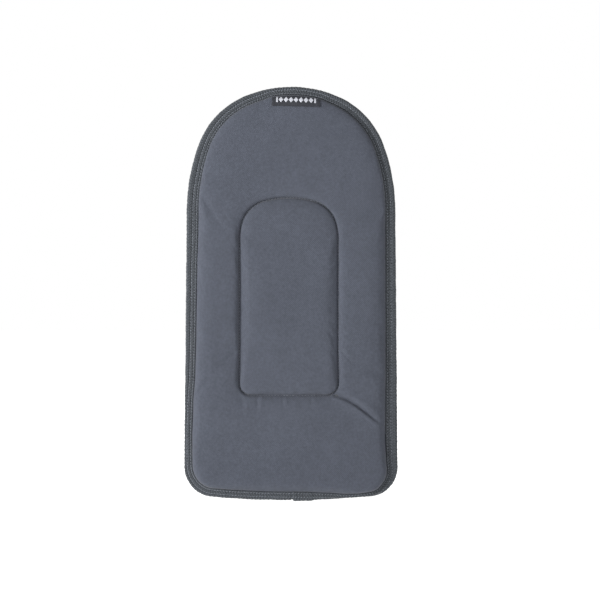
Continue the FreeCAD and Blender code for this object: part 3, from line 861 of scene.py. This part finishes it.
def studio_floor(colours):
    """Opal acrylic light table: white, matt and lit from below, so that it keeps almost no shadow."""
    material, tree, shader = new_material("Acrylic_opal_sheet_lit")
    place = add(tree, "TexCoord").outputs["Object"]
    grain = add(tree, "TexNoise", Vector=place, Scale=220.0, Detail=2.0)
    bump = add(tree, "Bump", Strength=0.05, Distance=0.0005, Height=grain.outputs["Fac"])
    shader.inputs["Base Color"].default_value = shade(colours.floor, 1.0)
    shader.inputs["Emission Color"].default_value = (1, 1, 1, 1)
    shader.inputs["Emission Strength"].default_value = 0.75
    tree.links.new(bump.outputs[0], shader.inputs["Normal"])
    shader.inputs["Roughness"].default_value = 0.95
    return material


MATERIALS = {}


def material_from(maker):
    """A finish, made the first time that it is asked for."""
    if maker not in MATERIALS:
        MATERIALS[maker] = maker(bpy.context.scene.protector_colours)
    return MATERIALS[maker]


# ---------------------------------------------------------------------------------------------
# The cushion
# ---------------------------------------------------------------------------------------------


SETTLING = 20  # frames that the cloth takes to settle


def swollen(rings, plan_numbers, sizes):
    """How far the cloth moves when the filling presses on it, on a coarse grid of the cover."""
    plan = [PLAN[number] for number in plan_numbers]
    places, faces = rings.grid(plan)
    height = cover_form(places[:, 0], places[:, 1], sizes)
    piece = mesh_piece("cover_toile", placed(places[:, 0], height, places[:, 1]), faces)
    sewn = piece.vertex_groups.new(name="sewn")
    fixed = []
    for number, (kind, value) in enumerate(plan):
        if (kind == "edge" and value < 0.5) or (kind == "seam" and abs(value) < 0.6):
            fixed += range(number * rings.rays, (number + 1) * rings.rays)
    sewn.add(fixed, 1.0, "REPLACE")
    before = coordinates(piece)
    cloth = piece.modifiers.new("Cloth", "CLOTH")
    cloth.settings.quality = 5
    cloth.settings.mass = 0.2
    cloth.settings.tension_stiffness = 12
    cloth.settings.compression_stiffness = 12
    cloth.settings.shear_stiffness = 6
    cloth.settings.bending_stiffness = 0.4
    cloth.settings.vertex_group_mass = "sewn"
    cloth.settings.use_pressure = True
    cloth.settings.uniform_pressure_force = 4.0
    cloth.settings.shrink_min = -0.007
    cloth.settings.effector_weights.gravity = 0
    cloth.collision_settings.use_collision = False
    cloth.point_cache.frame_start, cloth.point_cache.frame_end = 1, SETTLING
    for number in range(1, SETTLING + 1):
        bpy.context.scene.frame_set(number)
    only(piece)
    bpy.ops.object.modifier_apply(modifier="Cloth")
    moved = (pattern(piece)[0] - before) / MM
    bpy.context.scene.frame_set(1)
    reach = np.linalg.norm(moved, axis=1, keepdims=True)
    cap = sizes.swell / MM
    return moved * (cap * np.tanh(reach / cap) / np.maximum(reach, 1e-9))


def spread_movement(moved, coarse_rays, plan_numbers):
    """The coarse grid's movement on the fine grid, smoothed so that no coarse edge shows."""
    last = len(plan_numbers) - 1
    tail = moved[last * coarse_rays :]
    mirror = np.minimum(np.arange(coarse_rays), coarse_rays - np.arange(coarse_rays))
    table = np.concatenate((moved[: last * coarse_rays].reshape(last, coarse_rays, 3), tail[mirror][None]))
    fine_rays = np.arange(RAYS) / COARSE
    rays = np.arange(coarse_rays)
    wide = [
        [np.interp(fine_rays, rays, row[:, k], period=coarse_rays) for row in table] for k in range(3)
    ]
    wide = np.stack(wide, -1)
    for _ in range(COARSE):
        wide = (np.roll(wide, 1, 1) + 2 * wide + np.roll(wide, -1, 1)) / 4
    full = np.empty((len(PLAN), RAYS, 3))
    for k in range(3):
        for ray in range(RAYS):
            full[:, ray, k] = np.interp(np.arange(len(PLAN)), plan_numbers, wide[:, ray, k])
    for _ in range(3):
        full[1:-1] = (full[:-2] + 2 * full[1:-1] + full[2:]) / 4
    return np.vstack((full[:-1].reshape(-1, 3), full[-1, : RAYS // 2 + 1]))


COARSE_STEPS = {
    "edge": (-12.0, -1.5, 0.05, 1.6, 4.4, 7.2),
    "field": FIELD_STEPS[::2],
    "seam": (-13.0, -7.8, -4.0, -1.6, 0.0, 1.6, 4.0, 7.6),
    "heart": (0.14, 0.36, 0.66, 1.0),
}


def coarse_plan():
    """Numbers of the rings that the simulation uses."""
    return [number for number, (kind, value) in enumerate(PLAN) if value in COARSE_STEPS[kind]]


def refine(piece, near):
    """Divides the edges whose middles are near a fold, so that its narrow valley has points."""
    work = bmesh.new()
    work.from_mesh(piece.data)
    edges = [edge for edge in work.edges if near((edge.verts[0].co + edge.verts[1].co) / 2)]
    bmesh.ops.subdivide_edges(work, edges=edges, cuts=2, use_grid_fill=True)
    work.to_mesh(piece.data)
    work.free()
    piece.data.update()


def near_fold(point):
    """Whether a point of the frame is within a few millimetres of the pulled fold."""
    x, z = point.x / MM, point.z / MM - MID_Z
    left, right, bottom, top = FOLD_AREA
    if not (left < x < right and bottom < z < top):
        return False
    return float(((FOLD - (x, z)) ** 2).sum(1).min()) < FOLD_REACH_SQUARED


class PROTECTOR_OT_cover(bpy.types.Operator):
    """Sews and fills the front cover: roll-off, sewn channel, swell, folds and puckers"""

    bl_idname = "protector.cover"
    bl_label = "Front cover"

    def execute(self, context):
        sizes = context.scene.protector_sizes
        places, faces = Rings(RAYS).grid(PLAN)
        height = cover_form(places[:, 0], places[:, 1], sizes)
        points = placed(places[:, 0], height, places[:, 1])
        numbers = coarse_plan()
        moved = swollen(Rings(RAYS // COARSE), numbers, sizes)
        points += spread_movement(moved, RAYS // COARSE, numbers) * MM
        piece = mesh_piece("front_cover_cloth", points, faces)
        refine(piece, near_fold)
        values = coordinates(piece)
        rise = cover_detail(values[:, 0] / MM, values[:, 2] / MM - MID_Z)
        values[:, 1] -= rise * MM
        move_points(piece, values)
        smooth_shaded(piece.data)
        apply_modifier(piece, "SOLIDIFY", thickness=sizes.cover_cloth, offset=-1.0, use_even_offset=False)
        finished(piece, ["front_cover"], material_from(polyester_cover))
        return {"FINISHED"}


def front_surface(name):
    """Search tree of a finished piece, for laying others on it."""
    piece = bpy.data.objects.get(name)
    if piece is None:
        raise RuntimeError("%s is not made yet" % name)
    return BVHTree.FromObject(piece, bpy.context.evaluated_depsgraph_get())


def resting_height(tree, x, z):
    """Heights at which the front face of a piece lies, under places on the panel."""
    heights = []
    for px, pz in zip(np.ravel(x), np.ravel(z)):
        hit = tree.ray_cast(Vector((px * MM, -0.2, (pz + MID_Z) * MM)), Vector((0, 1, 0)))[0]
        heights.append(LINING_Y - hit.y / MM if hit else 0.0)
    return np.array(heights).reshape(np.shape(x))


FOAM_DRAWN_IN, FOAM_BELOW = 1.6, 1.15  # how far the foam stays inside the cover's edge and under its cloth
FOAM_LEAST = 0.6
POCKET_INSET = 14.0  # from the panel's edge to the pocket for the stiffener


class PROTECTOR_OT_foam(bpy.types.Operator):
    """Cuts the foam under the cover, with the shallow pocket for the stiffener at its back"""

    bl_idname = "protector.foam"
    bl_label = "Foam core"

    def execute(self, context):
        sizes = context.scene.protector_sizes
        rays = RAYS // 2
        places, faces = Rings(rays).grid(PLAN)
        x, z = places[:, 0], places[:, 1]
        top = cover_form(x, z, sizes, drawn_in=FOAM_DRAWN_IN) - sizes.cover_cloth / MM - FOAM_BELOW
        inside, _ = PAD.nearest(places)
        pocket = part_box("stiffener_sheet")[0].y / MM
        floor = np.where(inside > POCKET_INSET, LINING_Y - pocket + 0.05, LINING_THICKNESS + 0.02)
        count = len(places)
        points = np.vstack((placed(x, np.maximum(top, floor + FOAM_LEAST), z), placed(x, floor, z)))
        ring = np.arange(rays)
        after = np.roll(ring, -1)
        rim = np.stack((ring, count + ring, count + after, after), 1)
        piece = mesh_piece("foam_core_block", points, np.vstack((faces, faces[:, ::-1] + count, rim)))
        finished(piece, ["foam_core"], material_from(cellular_foam))
        return {"FINISHED"}


class PROTECTOR_OT_stiffener(bpy.types.Operator):
    """Gives the plastic sheet behind the foam its finish"""

    bl_idname = "protector.stiffener"
    bl_label = "Stiffener sheet"

    def execute(self, context):
        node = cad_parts["stiffener_sheet"]
        node.data.materials.clear()
        node.data.materials.append(material_from(milky_sheet))
        return {"FINISHED"}


class PROTECTOR_OT_lining(bpy.types.Operator):
    """Lays the back lining, slightly uneven between the hook strips and pulled in at the binding"""

    bl_idname = "protector.lining"
    bl_label = "Back lining"

    def execute(self, context):
        rays = RAYS // 2
        plan = [ring for ring in PLAN if ring != ("seam", -0.5)]  # nothing is sewn in here
        places, faces = Rings(rays).grid(plan)
        x, z = places[:, 0], places[:, 1]
        inside, along = PAD.nearest(places)
        free = np.clip((inside - 13.0) / 8.0, 0, 1)
        for strip in ("upper_hook_strip", "lower_hook_strip"):
            low, high = (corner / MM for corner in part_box(strip))
            above = np.abs(z + MID_Z - (low.z + high.z) / 2) - (high.z - low.z) / 2
            beside = np.maximum(np.abs(x) - high.x, above)
            free *= np.clip((beside - 1.0) / 9.0, 0, 1)
        out = 0.35 + 0.45 * waves(x, z, seed=41, size=60) + 0.12 * waves(x, z, seed=43, size=16)
        from_tape = inside - TAPE_WIDTH / 2
        pulled = np.exp(-np.clip(from_tape, 0, None) / 4.0) * np.clip(from_tape / 1.5, 0, 1)
        wander = 2.0 * waves(along, np.zeros_like(along), seed=44, size=70)
        ripple = 0.22 * pulled * np.cos(2 * math.pi * along / 4.3 + wander)
        points = placed(x, -out * free - ripple, z)
        piece = mesh_piece("back_lining_cloth", points, faces[:, ::-1])
        apply_modifier(piece, "SOLIDIFY", thickness=LINING_THICKNESS * MM, offset=-1.0)
        finished(piece, ["back_lining"], material_from(nylon_lining))
        low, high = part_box("back_lining")
        return {"FINISHED"}


# ---------------------------------------------------------------------------------------------
# The binding
# ---------------------------------------------------------------------------------------------

FOLD_RADIUS = (TAPE_FRONT - TAPE_BACK) / 2
FOLD_MIDDLE = (TAPE_FRONT + TAPE_BACK) / 2
LAP_START, LAP_END = 2.0, 19.0  # the tape's upper and lower ends, beside the middle of the hem
LAP_LIFT = 0.85  # how far the upper end stands off the lower one
NUB_PITCH = 4.2  # of the weave's nubs


def tape_rows(along):
    """Distances across the tape of its two rows of stitches, in front and behind."""
    shown = tape_shown(along)
    flat = shown - FOLD_RADIUS
    turn = math.pi * FOLD_RADIUS
    front = [np.full_like(shown, ROW_INSET), np.full_like(shown, ROW_INSET + ROW_GAP)]
    back = [flat + turn + np.maximum(shown - row - FOLD_RADIUS, -ROW_ROUND) for row in front]
    return front, back


def tape_surface(along, across):
    """Places, heights and directions of the tape's outer face, at distances along and across it."""
    shown = tape_shown(along)
    flat = shown - FOLD_RADIUS
    turn = math.pi * FOLD_RADIUS
    angle = np.clip((across - flat) / FOLD_RADIUS, 0, math.pi)
    inset = FOLD_RADIUS * (1 - np.sin(angle))
    inset = inset + np.clip(flat - across, 0, None) + np.clip(across - flat - turn, 0, None)
    height = FOLD_MIDDLE + FOLD_RADIUS * np.cos(angle)
    inwards, forwards = -np.sin(angle), np.cos(angle)
    relief = tape_relief(along, across, flat, turn)
    inset = inset + inwards * relief
    height = height + forwards * relief
    place = PAD.at(along, inset)
    out = PAD.outward(along)
    direction = np.stack((-inwards * out[..., 0], -forwards, -inwards * out[..., 1]), -1)
    return placed(place[..., 0], height, place[..., 1]), direction


def tape_relief(along, across, flat, turn):
    """Rise of the tape over its smooth form: sunk stitch rows, the soft roll between them and the fold."""
    front, back = tape_rows(along)
    relief = 0.30 * hump(across - flat - turn / 2, 3.2)
    relief = relief + 0.25 * hump(across - 8.3, 1.8) + 0.10 * hump(across - 3.2, 0.9)
    holes = 1 - 0.3 * np.cos(2 * math.pi * along / STITCH_PITCH)
    for row in front + back:
        relief = relief - 0.62 * holes * hump(across - row, 0.85)
    wander = waves(along, across * 0.6, seed=61, size=17)
    nubs = np.cos(2 * math.pi * along / NUB_PITCH) * np.cos(math.pi * across / NUB_PITCH)
    relief = relief + 0.10 * wander + 0.06 * waves(along, across, seed=62, size=5) + 0.13 * nubs
    lapped = np.clip((LAP_END + 5 - along) / 5, 0, 1)
    step = lapped * lapped * (3 - 2 * lapped)
    curl = 1 - 0.45 * np.clip((LAP_START + 1.6 - along) / 1.6, 0, 1) ** 2
    crushed = 0.8 * hump(along - PAD.length - LAP_START + 0.9, 1.1)
    return relief + LAP_LIFT * step * curl - crushed


# Steps across the tape: its front, closer ones round the fold, and its back.
TAPE_STEPS = (*np.linspace(0, 7, 12), *np.linspace(7.9, 17, 13), *np.linspace(18, TAPE_WIDTH, 11))


class PROTECTOR_OT_binding(bpy.types.Operator):
    """Folds the tape over the panel's edge all round and laps its ends at the hem"""

    bl_idname = "protector.binding"
    bl_label = "Edge binding"

    def execute(self, context):
        sizes = context.scene.protector_sizes
        stations = np.linspace(LAP_START, PAD.length + LAP_END, int(PAD.length) + 18)
        along, across = np.meshgrid(stations, TAPE_STEPS, indexing="ij")
        points, _ = tape_surface(along, across)
        piece = mesh_piece("edge_binding_tape", points.reshape(-1, 3), sheet_faces(*along.shape))
        if piece.data.polygons[0].normal.y > 0:
            piece.data.flip_normals()
        add_map(piece, np.stack((along.ravel(), across.ravel()), 1))
        apply_modifier(piece, "SOLIDIFY", thickness=sizes.tape_cloth, offset=-1.0)
        finished(piece, ["edge_binding"], material_from(herringbone_tape))
        return {"FINISHED"}


# ---------------------------------------------------------------------------------------------
# Stitches
# ---------------------------------------------------------------------------------------------


STITCH_HALVES = (0.36, 0.27, 1.34)  # half of a stitch's width, height and length


def single_stitch():
    """Points and faces of one lockstitch: a short plump run of thread whose ends dip into the cloth."""
    only()
    bpy.ops.mesh.primitive_uv_sphere_add(segments=6, ring_count=6, radius=1.0)
    piece = bpy.context.object
    bpy.ops.object.mode_set(mode="EDIT")
    bpy.ops.mesh.select_all(action="SELECT")
    bpy.ops.transform.resize(value=STITCH_HALVES)
    bpy.ops.object.mode_set(mode="OBJECT")
    points, faces = pattern(piece)
    points[:, 1] -= 0.10 * points[:, 2] ** 2
    return points, faces


def stitch_row(name, node, places, outwards, forwards, thread=light_thread):
    """One piece of many stitches: each at a place, proud along outwards and running along forwards."""
    shape, faces = single_stitch()
    outwards = outwards / np.linalg.norm(outwards, axis=1, keepdims=True)
    forwards = forwards - (forwards * outwards).sum(1, keepdims=True) * outwards
    forwards = forwards / np.linalg.norm(forwards, axis=1, keepdims=True)
    sideways = np.cross(outwards, forwards)
    points = (
        places[:, None]
        + shape[None, :, :1] * MM * sideways[:, None]
        + shape[None, :, 1:2] * MM * outwards[:, None]
        + shape[None, :, 2:] * MM * forwards[:, None]
    )
    piece = mesh_piece(name, points.reshape(-1, 3), copies(faces, len(places), len(shape)))
    return finished(piece, [node], material_from(thread))


class PROTECTOR_OT_binding_seams(bpy.types.Operator):
    """Sews the two rows of lockstitch through the binding, in front and behind"""

    bl_idname = "protector.binding_seams"
    bl_label = "Binding seams"

    def execute(self, context):
        count = int(PAD.length / STITCH_PITCH)
        along = (np.arange(count) + 0.5) * PAD.length / count
        front, back = tape_rows(along)
        for side, rows in (("needle", front), ("bobbin", back)):
            for place, across in zip(("inner", "outer"), rows):
                name = "binding_%s_%s" % (place, side)
                ahead, _ = tape_surface(along + STITCH_PITCH / 5, across)
                behind, _ = tape_surface(along - STITCH_PITCH / 5, across)
                middle, out = tape_surface(along, across)
                raised = middle + out * 0.06 * MM
                stitches, node = name + "_stitches", name + "_thread"
                stitch_row(stitches, node, raised, out, ahead - behind, matched_thread)
        return {"FINISHED"}


class PROTECTOR_OT_channel_seam(bpy.types.Operator):
    """Sews the channel round the middle panel: needle thread on the cover, bobbin thread behind the foam"""

    bl_idname = "protector.channel_seam"
    bl_label = "Channel seam"

    def execute(self, context):
        tree = front_surface("front_cover_cloth")
        count = int(CHANNEL.length / STITCH_PITCH)
        along = (np.arange(count) + 0.5) * CHANNEL.length / count
        line = CHANNEL.at(along)
        height = resting_height(tree, line[:, 0], line[:, 1])
        out = CHANNEL.outward(along)
        flat = np.zeros(count)
        forwards = np.stack((-out[:, 1], flat, out[:, 0]), 1)
        towards_front = np.tile((0.0, -1.0, 0.0), (count, 1))
        places = placed(line[:, 0], height + 0.12, line[:, 1])
        stitch_row("channel_needle_stitches", "channel_needle_thread", places, towards_front, forwards)
        low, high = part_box("channel_bobbin_thread")
        places = placed(line[:, 0], flat, line[:, 1])
        places[:, 1] = (low.y + high.y) / 2
        stitch_row("channel_bobbin_stitches", "channel_bobbin_thread", places, towards_front, forwards)
        return {"FINISHED"}


# ---------------------------------------------------------------------------------------------
# The label
# ---------------------------------------------------------------------------------------------

LABEL_TURN = math.radians(-1.5)
LABEL_BOTTOM, LABEL_TOP = 186.9, 200.5  # the label's lower and upper edge at its middle
LABEL_MIDDLE = (LABEL_LOW.x + LABEL_HIGH.x) / 2
LABEL_HALF = (LABEL_HIGH.x - LABEL_LOW.x) / 2
FOLDED_END = 3.6  # what is folded under at each end of the label
LABEL_ENDS = np.array((0, 0.25, 0.6, 1.2, 2.0, 2.8, 3.2, 3.5, 3.9, 4.6))  # closer steps at each end
MOTIF_MIDDLE = 6.7  # above the label's lower edge
LOZENGE, LOZENGE_STEP = (3.4, 4.0), 5.0
BAR, BAR_PLACE = (1.7, 5.4), 19.0


def label_place(u, v):
    """Place on the panel from distances along the label, from its middle, and up from its lower edge."""
    x, z = turned(u, v, LABEL_TURN)
    return LABEL_MIDDLE + x, LABEL_BOTTOM - 0.5 + z


def label_height(tree, u, v):
    """Height of the label's face: stiff over the cover's roll-off and thicker at its folded ends."""
    x, z = label_place(u, v)
    base = resting_height(tree, x, z)
    inside, along = PAD.nearest(np.stack((np.ravel(x), np.ravel(z)), 1))
    under = (inside - tape_shown(along)).reshape(np.shape(x))
    doubled = np.clip((np.abs(u) - LABEL_HALF + FOLDED_END) / 0.5, 0, 1)
    lying = base + 0.42 + 0.28 * doubled + 0.25 * hump(v, 1.2)
    tucked = TAPE_FRONT - 0.78 + 3.0 * np.clip(under, 0, None)
    return np.maximum(np.minimum(lying, tucked), base + 0.22)


class PROTECTOR_OT_label(bpy.types.Operator):
    """Weaves the label, folds its ends under and catches its top edge in the binding"""

    bl_idname = "protector.label"
    bl_label = "Woven label"

    def execute(self, context):
        tree = front_surface("front_cover_cloth")
        middle = LABEL_HALF - 6
        u_steps = np.concatenate(
            (-LABEL_HALF + LABEL_ENDS, np.linspace(-middle, middle, 34), (LABEL_HALF - LABEL_ENDS)[::-1])
        )
        v_steps = np.concatenate(((0, 0.25, 0.6, 1.1), np.linspace(1.8, LABEL_TOP - LABEL_BOTTOM, 20)))
        u, v = np.meshgrid(u_steps, v_steps, indexing="ij")
        height = label_height(tree, u, v)
        for _ in range(2):
            height[1:-1] = (height[:-2] + 2 * height[1:-1] + height[2:]) / 4
            height[:, 1:-1] = (height[:, :-2] + 2 * height[:, 1:-1] + height[:, 2:]) / 4
        x, z = label_place(u, v)
        faces = sheet_faces(*u.shape)[:, (0, 3, 2, 1)]
        piece = mesh_piece("label_cloth", placed(x, height, z).reshape(-1, 3), faces)
        apply_modifier(piece, "SOLIDIFY", thickness=0.00035, offset=-1.0)
        finished(piece, ["label"], material_from(damask_label))
        self.motif(u_steps, v_steps, height)
        return {"FINISHED"}

    def motif(self, u_steps, v_steps, height):
        """A plain woven band of lozenges between two bars, raised a little above the label."""
        only()
        bpy.ops.mesh.primitive_grid_add(x_subdivisions=6, y_subdivisions=6, size=1.0)
        square, square_faces = pattern(bpy.context.object)
        shapes = [(number * LOZENGE_STEP, LOZENGE, math.pi / 4) for number in range(-3, 4)]
        shapes += [(-BAR_PLACE, BAR, 0.0), (BAR_PLACE, BAR, 0.0)]
        spots = []
        for place, (wide, tall), turn in shapes:
            across, up = turned(square[:, 0], square[:, 1], turn)
            spots.append(np.stack((place + across * wide, MOTIF_MIDDLE + up * tall), 1))
        spots = np.vstack(spots)
        level = []
        for u, v in spots:
            column = [np.interp(v, v_steps, heights) for heights in height]
            level.append(np.interp(u, u_steps, column))
        x, z = label_place(spots[:, 0], spots[:, 1])
        points = placed(x, np.array(level) + 0.10, z)
        faces = copies(square_faces, len(shapes), len(square))
        piece = mesh_piece("label_motif_floats", points, faces)
        apply_modifier(piece, "SOLIDIFY", thickness=0.00012, offset=-1.0)
        finished(piece, [], material_from(motif_floats))


# ---------------------------------------------------------------------------------------------
# Hook tape on the back
# ---------------------------------------------------------------------------------------------


HOOK_RADIUS, HOOK_HEIGHT = 0.00011, 0.00095
BASE_DEPTH = 0.0006  # of the hook strip's woven base
FIELD_MARGIN = 0.0036  # from a strip's edge to its first hooks
SEAM_MARGIN = 0.0015  # from a strip's edge to its stitches


def single_hook():
    """Points and faces of one hook: a bent monofilament, modelled standing on the strip's base."""
    only()
    bpy.ops.mesh.primitive_circle_add(vertices=5, radius=HOOK_RADIUS, fill_type="NGON")
    piece = bpy.context.object
    bpy.ops.object.mode_set(mode="EDIT")
    bpy.ops.mesh.select_all(action="SELECT")
    bpy.ops.mesh.extrude_region_move(TRANSFORM_OT_translate={"value": (0, 0, HOOK_HEIGHT)})
    bend = (0.00042, 0, HOOK_HEIGHT)
    bpy.ops.mesh.spin(steps=4, angle=math.radians(200), center=bend, axis=(0, 1, 0))
    bpy.ops.mesh.select_all(action="SELECT")
    bpy.ops.mesh.remove_doubles(threshold=1e-6)
    bpy.ops.mesh.normals_make_consistent(inside=False)
    bpy.ops.object.mode_set(mode="OBJECT")
    return pattern(piece)


def bevel_edges(piece, wanted, offset, segments):
    """Rounds the edges of a piece whose two ends pass a test."""
    only(piece)
    bpy.ops.object.mode_set(mode="EDIT")
    bpy.ops.mesh.select_mode(type="EDGE")
    bpy.ops.mesh.select_all(action="DESELECT")
    bpy.ops.object.mode_set(mode="OBJECT")
    points = coordinates(piece)
    for edge in piece.data.edges:
        edge.select = bool(wanted(*points[list(edge.vertices)]))
    bpy.ops.object.mode_set(mode="EDIT")
    bpy.ops.mesh.bevel(offset=offset, segments=segments, affect="EDGES", profile=0.5)
    bpy.ops.object.mode_set(mode="OBJECT")


def strip_base(name, low, high):
    """The strip's woven base: a thin plate with round corners and a soft selvedge."""
    only()
    bpy.ops.mesh.primitive_cube_add(size=1.0)
    piece = bpy.context.object
    piece.name = piece.data.name = name
    inner = low.y + BASE_DEPTH
    middle = ((low.x + high.x) / 2, low.y + BASE_DEPTH / 2, (low.z + high.z) / 2)
    bpy.ops.object.mode_set(mode="EDIT")
    bpy.ops.mesh.select_all(action="SELECT")
    bpy.ops.transform.resize(value=(high.x - low.x, BASE_DEPTH, high.z - low.z))
    bpy.ops.transform.translate(value=middle)
    bpy.ops.object.mode_set(mode="OBJECT")

    def upright(first, last):
        return abs(first[1] - last[1]) > 0.9 * BASE_DEPTH

    def rim(first, last):
        return max(abs(first[1] - inner), abs(last[1] - inner)) < 1e-6

    bevel_edges(piece, upright, offset=0.003, segments=6)
    bevel_edges(piece, rim, offset=0.0002, segments=2)
    return piece


class PROTECTOR_OT_hook_strips(bpy.types.Operator):
    """Sews the two strips of hook tape to the lining"""

    bl_idname = "protector.hook_strips"
    bl_label = "Hook strips"

    def execute(self, context):
        material = material_from(nylon_hooks)
        shape = single_hook()
        pitch = context.scene.protector_sizes.hook_pitch
        draw = np.random.default_rng(7)
        for place in ("upper", "lower"):
            node = place + "_hook_strip"
            low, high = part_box(node)
            base = strip_base(node + "_base", low, high)
            finished(base, [node], material)
            field = mesh_piece(node + "_hooks", *self.field(shape, low, high, pitch, draw))
            finished(field, [], material)
            self.seams(place, low, high)
        return {"FINISHED"}

    def field(self, shape, low, high, pitch, draw):
        """Points and faces of a strip's hooks: staggered, every two rows opening the other way."""
        hook, hook_faces = shape
        left, bottom = low.x + FIELD_MARGIN, low.z + FIELD_MARGIN
        width, height = high.x - low.x - 2 * FIELD_MARGIN, high.z - low.z - 2 * FIELD_MARGIN
        columns, rows = int(width / pitch), int(height / (pitch * 0.85))
        points = []
        for row in range(rows + 1):
            z = bottom + height * row / rows
            for column in range(columns + 1):
                x = left + width * (column + 0.5 * (row % 2)) / (columns + 0.5)
                turn = draw.normal(0, 0.35) + (math.pi if (row // 2) % 2 else 0)
                scale = draw.uniform(0.9, 1.0)
                across, up = turned(hook[:, 0], hook[:, 1], turn)
                away = low.y + BASE_DEPTH - 0.00005 + hook[:, 2] * scale
                points.append(np.stack((x + across, away, z + up), 1))
        # Turning the hook's height towards the back mirrors it, so its faces are turned round.
        outwards = [face[::-1] for face in hook_faces]
        return np.vstack(points), copies(outwards, len(points), len(hook))

    def seams(self, place, low, high):
        """The rectangle of stitches round one strip, on the hook tape and behind the lining."""
        left, right = low.x + SEAM_MARGIN, high.x - SEAM_MARGIN
        bottom, top = low.z + SEAM_MARGIN, high.z - SEAM_MARGIN
        corners = [(left, bottom), (right, bottom), (right, top), (left, top)]
        places, directions = [], []
        for first, second in zip(corners, corners[1:] + corners[:1]):
            first, second = np.array(first), np.array(second)
            run = np.linalg.norm(second - first)
            count = int(run / (STITCH_PITCH * MM))
            for number in range(count):
                places.append(first + (second - first) * (number + 0.5) / count)
                directions.append((second - first) / run)
        places, directions = np.array(places), np.array(directions)
        flat = np.zeros(len(places))
        forwards = np.stack((directions[:, 0], flat, directions[:, 1]), 1)
        for side, sign in (("needle", 1.0), ("bobbin", -1.0)):
            name = "%s_strip_%s_" % (place, side)
            near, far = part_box(name + "thread")
            level = near.y + 0.00003 if side == "needle" else far.y - 0.00003
            points = np.stack((places[:, 0], np.full(len(places), level), places[:, 1]), 1)
            out = np.tile((0.0, sign, 0.0), (len(places), 1))
            stitch_row(name + "stitches", name + "thread", points, out, forwards)


# ---------------------------------------------------------------------------------------------
# The stage
# ---------------------------------------------------------------------------------------------


FLOOR_WIDTH = 14.0
LAMPS = (  # name, place from the protector's middle, width and power of each soft light
    ("Key", (-1.65, -1.00, 0.30), 0.7, 42.0),
    ("Fill", (1.3, -1.6, 0.3), 1.4, 2.5),
    ("Back_fill", (-0.6, 1.7, 0.9), 1.2, 12.0),
)
LENS, SENSOR = 100.0, 36.0  # millimetres, as a camera's are given
VIEW_WIDTH = 0.600  # what the camera takes in at the protector
VIEW_ASIDE, VIEW_BELOW = 0.009, 0.0065  # the camera's place from the panel's middle


class PROTECTOR_OT_stage(bpy.types.Operator):
    """Sets out the floor, the soft lights, the backdrop's tone and the camera"""

    bl_idname = "protector.stage"
    bl_label = "Studio"

    def execute(self, context):
        scene = context.scene
        scene.view_settings.view_transform = "Standard"
        low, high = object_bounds()
        only()
        bpy.ops.mesh.primitive_grid_add(x_subdivisions=12, y_subdivisions=12, size=1.0)
        floor = context.object
        floor.name = "studio_floor"
        points = coordinates(floor) * (FLOOR_WIDTH, FLOOR_WIDTH, 1)
        move_points(floor, points + (0, 2.0, low.z - 0.0002))
        floor.data.materials.append(material_from(studio_floor))
        floor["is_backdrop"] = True
        world = bpy.data.worlds.new("Studio")
        scene.world = world
        world.use_nodes = True
        tree = world.node_tree
        tree.nodes.clear()
        seen = add(tree, "LightPath").outputs["Is Camera Ray"]
        strength = add(tree, "MapRange", i0=seen, i3=0.42, i4=1.0)
        sky = add(tree, "Background", Color=(1, 1, 1, 1), Strength=strength.outputs[0])
        add(tree, "OutputWorld", Surface=sky.outputs[0])
        target = (low + high) / 2
        for name, place, size, power in LAMPS:
            light = bpy.data.lights.new(name, "AREA")
            light.shape = "SQUARE"
            light.size = size
            light.energy = power
            lamp = bpy.data.objects.new(name, light)
            scene.collection.objects.link(lamp)
            lamp.location = target + Vector(place)
            lamp.rotation_euler = (target - lamp.location).to_track_quat("-Z", "Y").to_euler()
        camera_data = bpy.data.cameras.new("Camera")
        camera_data.lens, camera_data.sensor_width = LENS, SENSOR
        camera = bpy.data.objects.new("Camera", camera_data)
        scene.collection.objects.link(camera)
        middle_y = (LINING_Y - COVER_FRONT / 2) * MM
        away = VIEW_WIDTH * LENS / SENSOR
        camera.location = (VIEW_ASIDE, middle_y - away, MID_Z * MM - VIEW_BELOW)
        camera.rotation_euler = (math.pi / 2, 0, 0)
        scene.camera = camera
        return {"FINISHED"}


class PROTECTOR_PT_panel(bpy.types.Panel):
    """Sizes, colours and steps of the protector"""

    bl_idname = "PROTECTOR_PT_panel"
    bl_label = "Back protector"
    bl_space_type = "VIEW_3D"
    bl_region_type = "UI"
    bl_category = "Protector"

    def draw(self, context):
        for group in (context.scene.protector_sizes, context.scene.protector_colours):
            box = self.layout.box()
            for name in group.__annotations__:
                box.prop(group, name)
        for operator in OPERATORS:
            self.layout.operator(operator.bl_idname)


OPERATORS = (
    PROTECTOR_OT_cover,
    PROTECTOR_OT_foam,
    PROTECTOR_OT_stiffener,
    PROTECTOR_OT_lining,
    PROTECTOR_OT_binding,
    PROTECTOR_OT_binding_seams,
    PROTECTOR_OT_channel_seam,
    PROTECTOR_OT_label,
    PROTECTOR_OT_hook_strips,
    PROTECTOR_OT_stage,
)
CLASSES = (ProtectorSizes, ProtectorColours, *OPERATORS, PROTECTOR_PT_panel)


def register():
    for one in CLASSES:
        bpy.utils.register_class(one)
    bpy.types.Scene.protector_sizes = bpy.props.PointerProperty(type=ProtectorSizes)
    bpy.types.Scene.protector_colours = bpy.props.PointerProperty(type=ProtectorColours)


def unregister():
    del bpy.types.Scene.protector_colours
    del bpy.types.Scene.protector_sizes
    for one in reversed(CLASSES):
        bpy.utils.unregister_class(one)


def main():
    """Registers the add-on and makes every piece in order."""
    register()
    for operator in OPERATORS:
        group, name = operator.bl_idname.split(".")
        getattr(getattr(bpy.ops, group), name)()


if __name__ == "__main__":
    main()
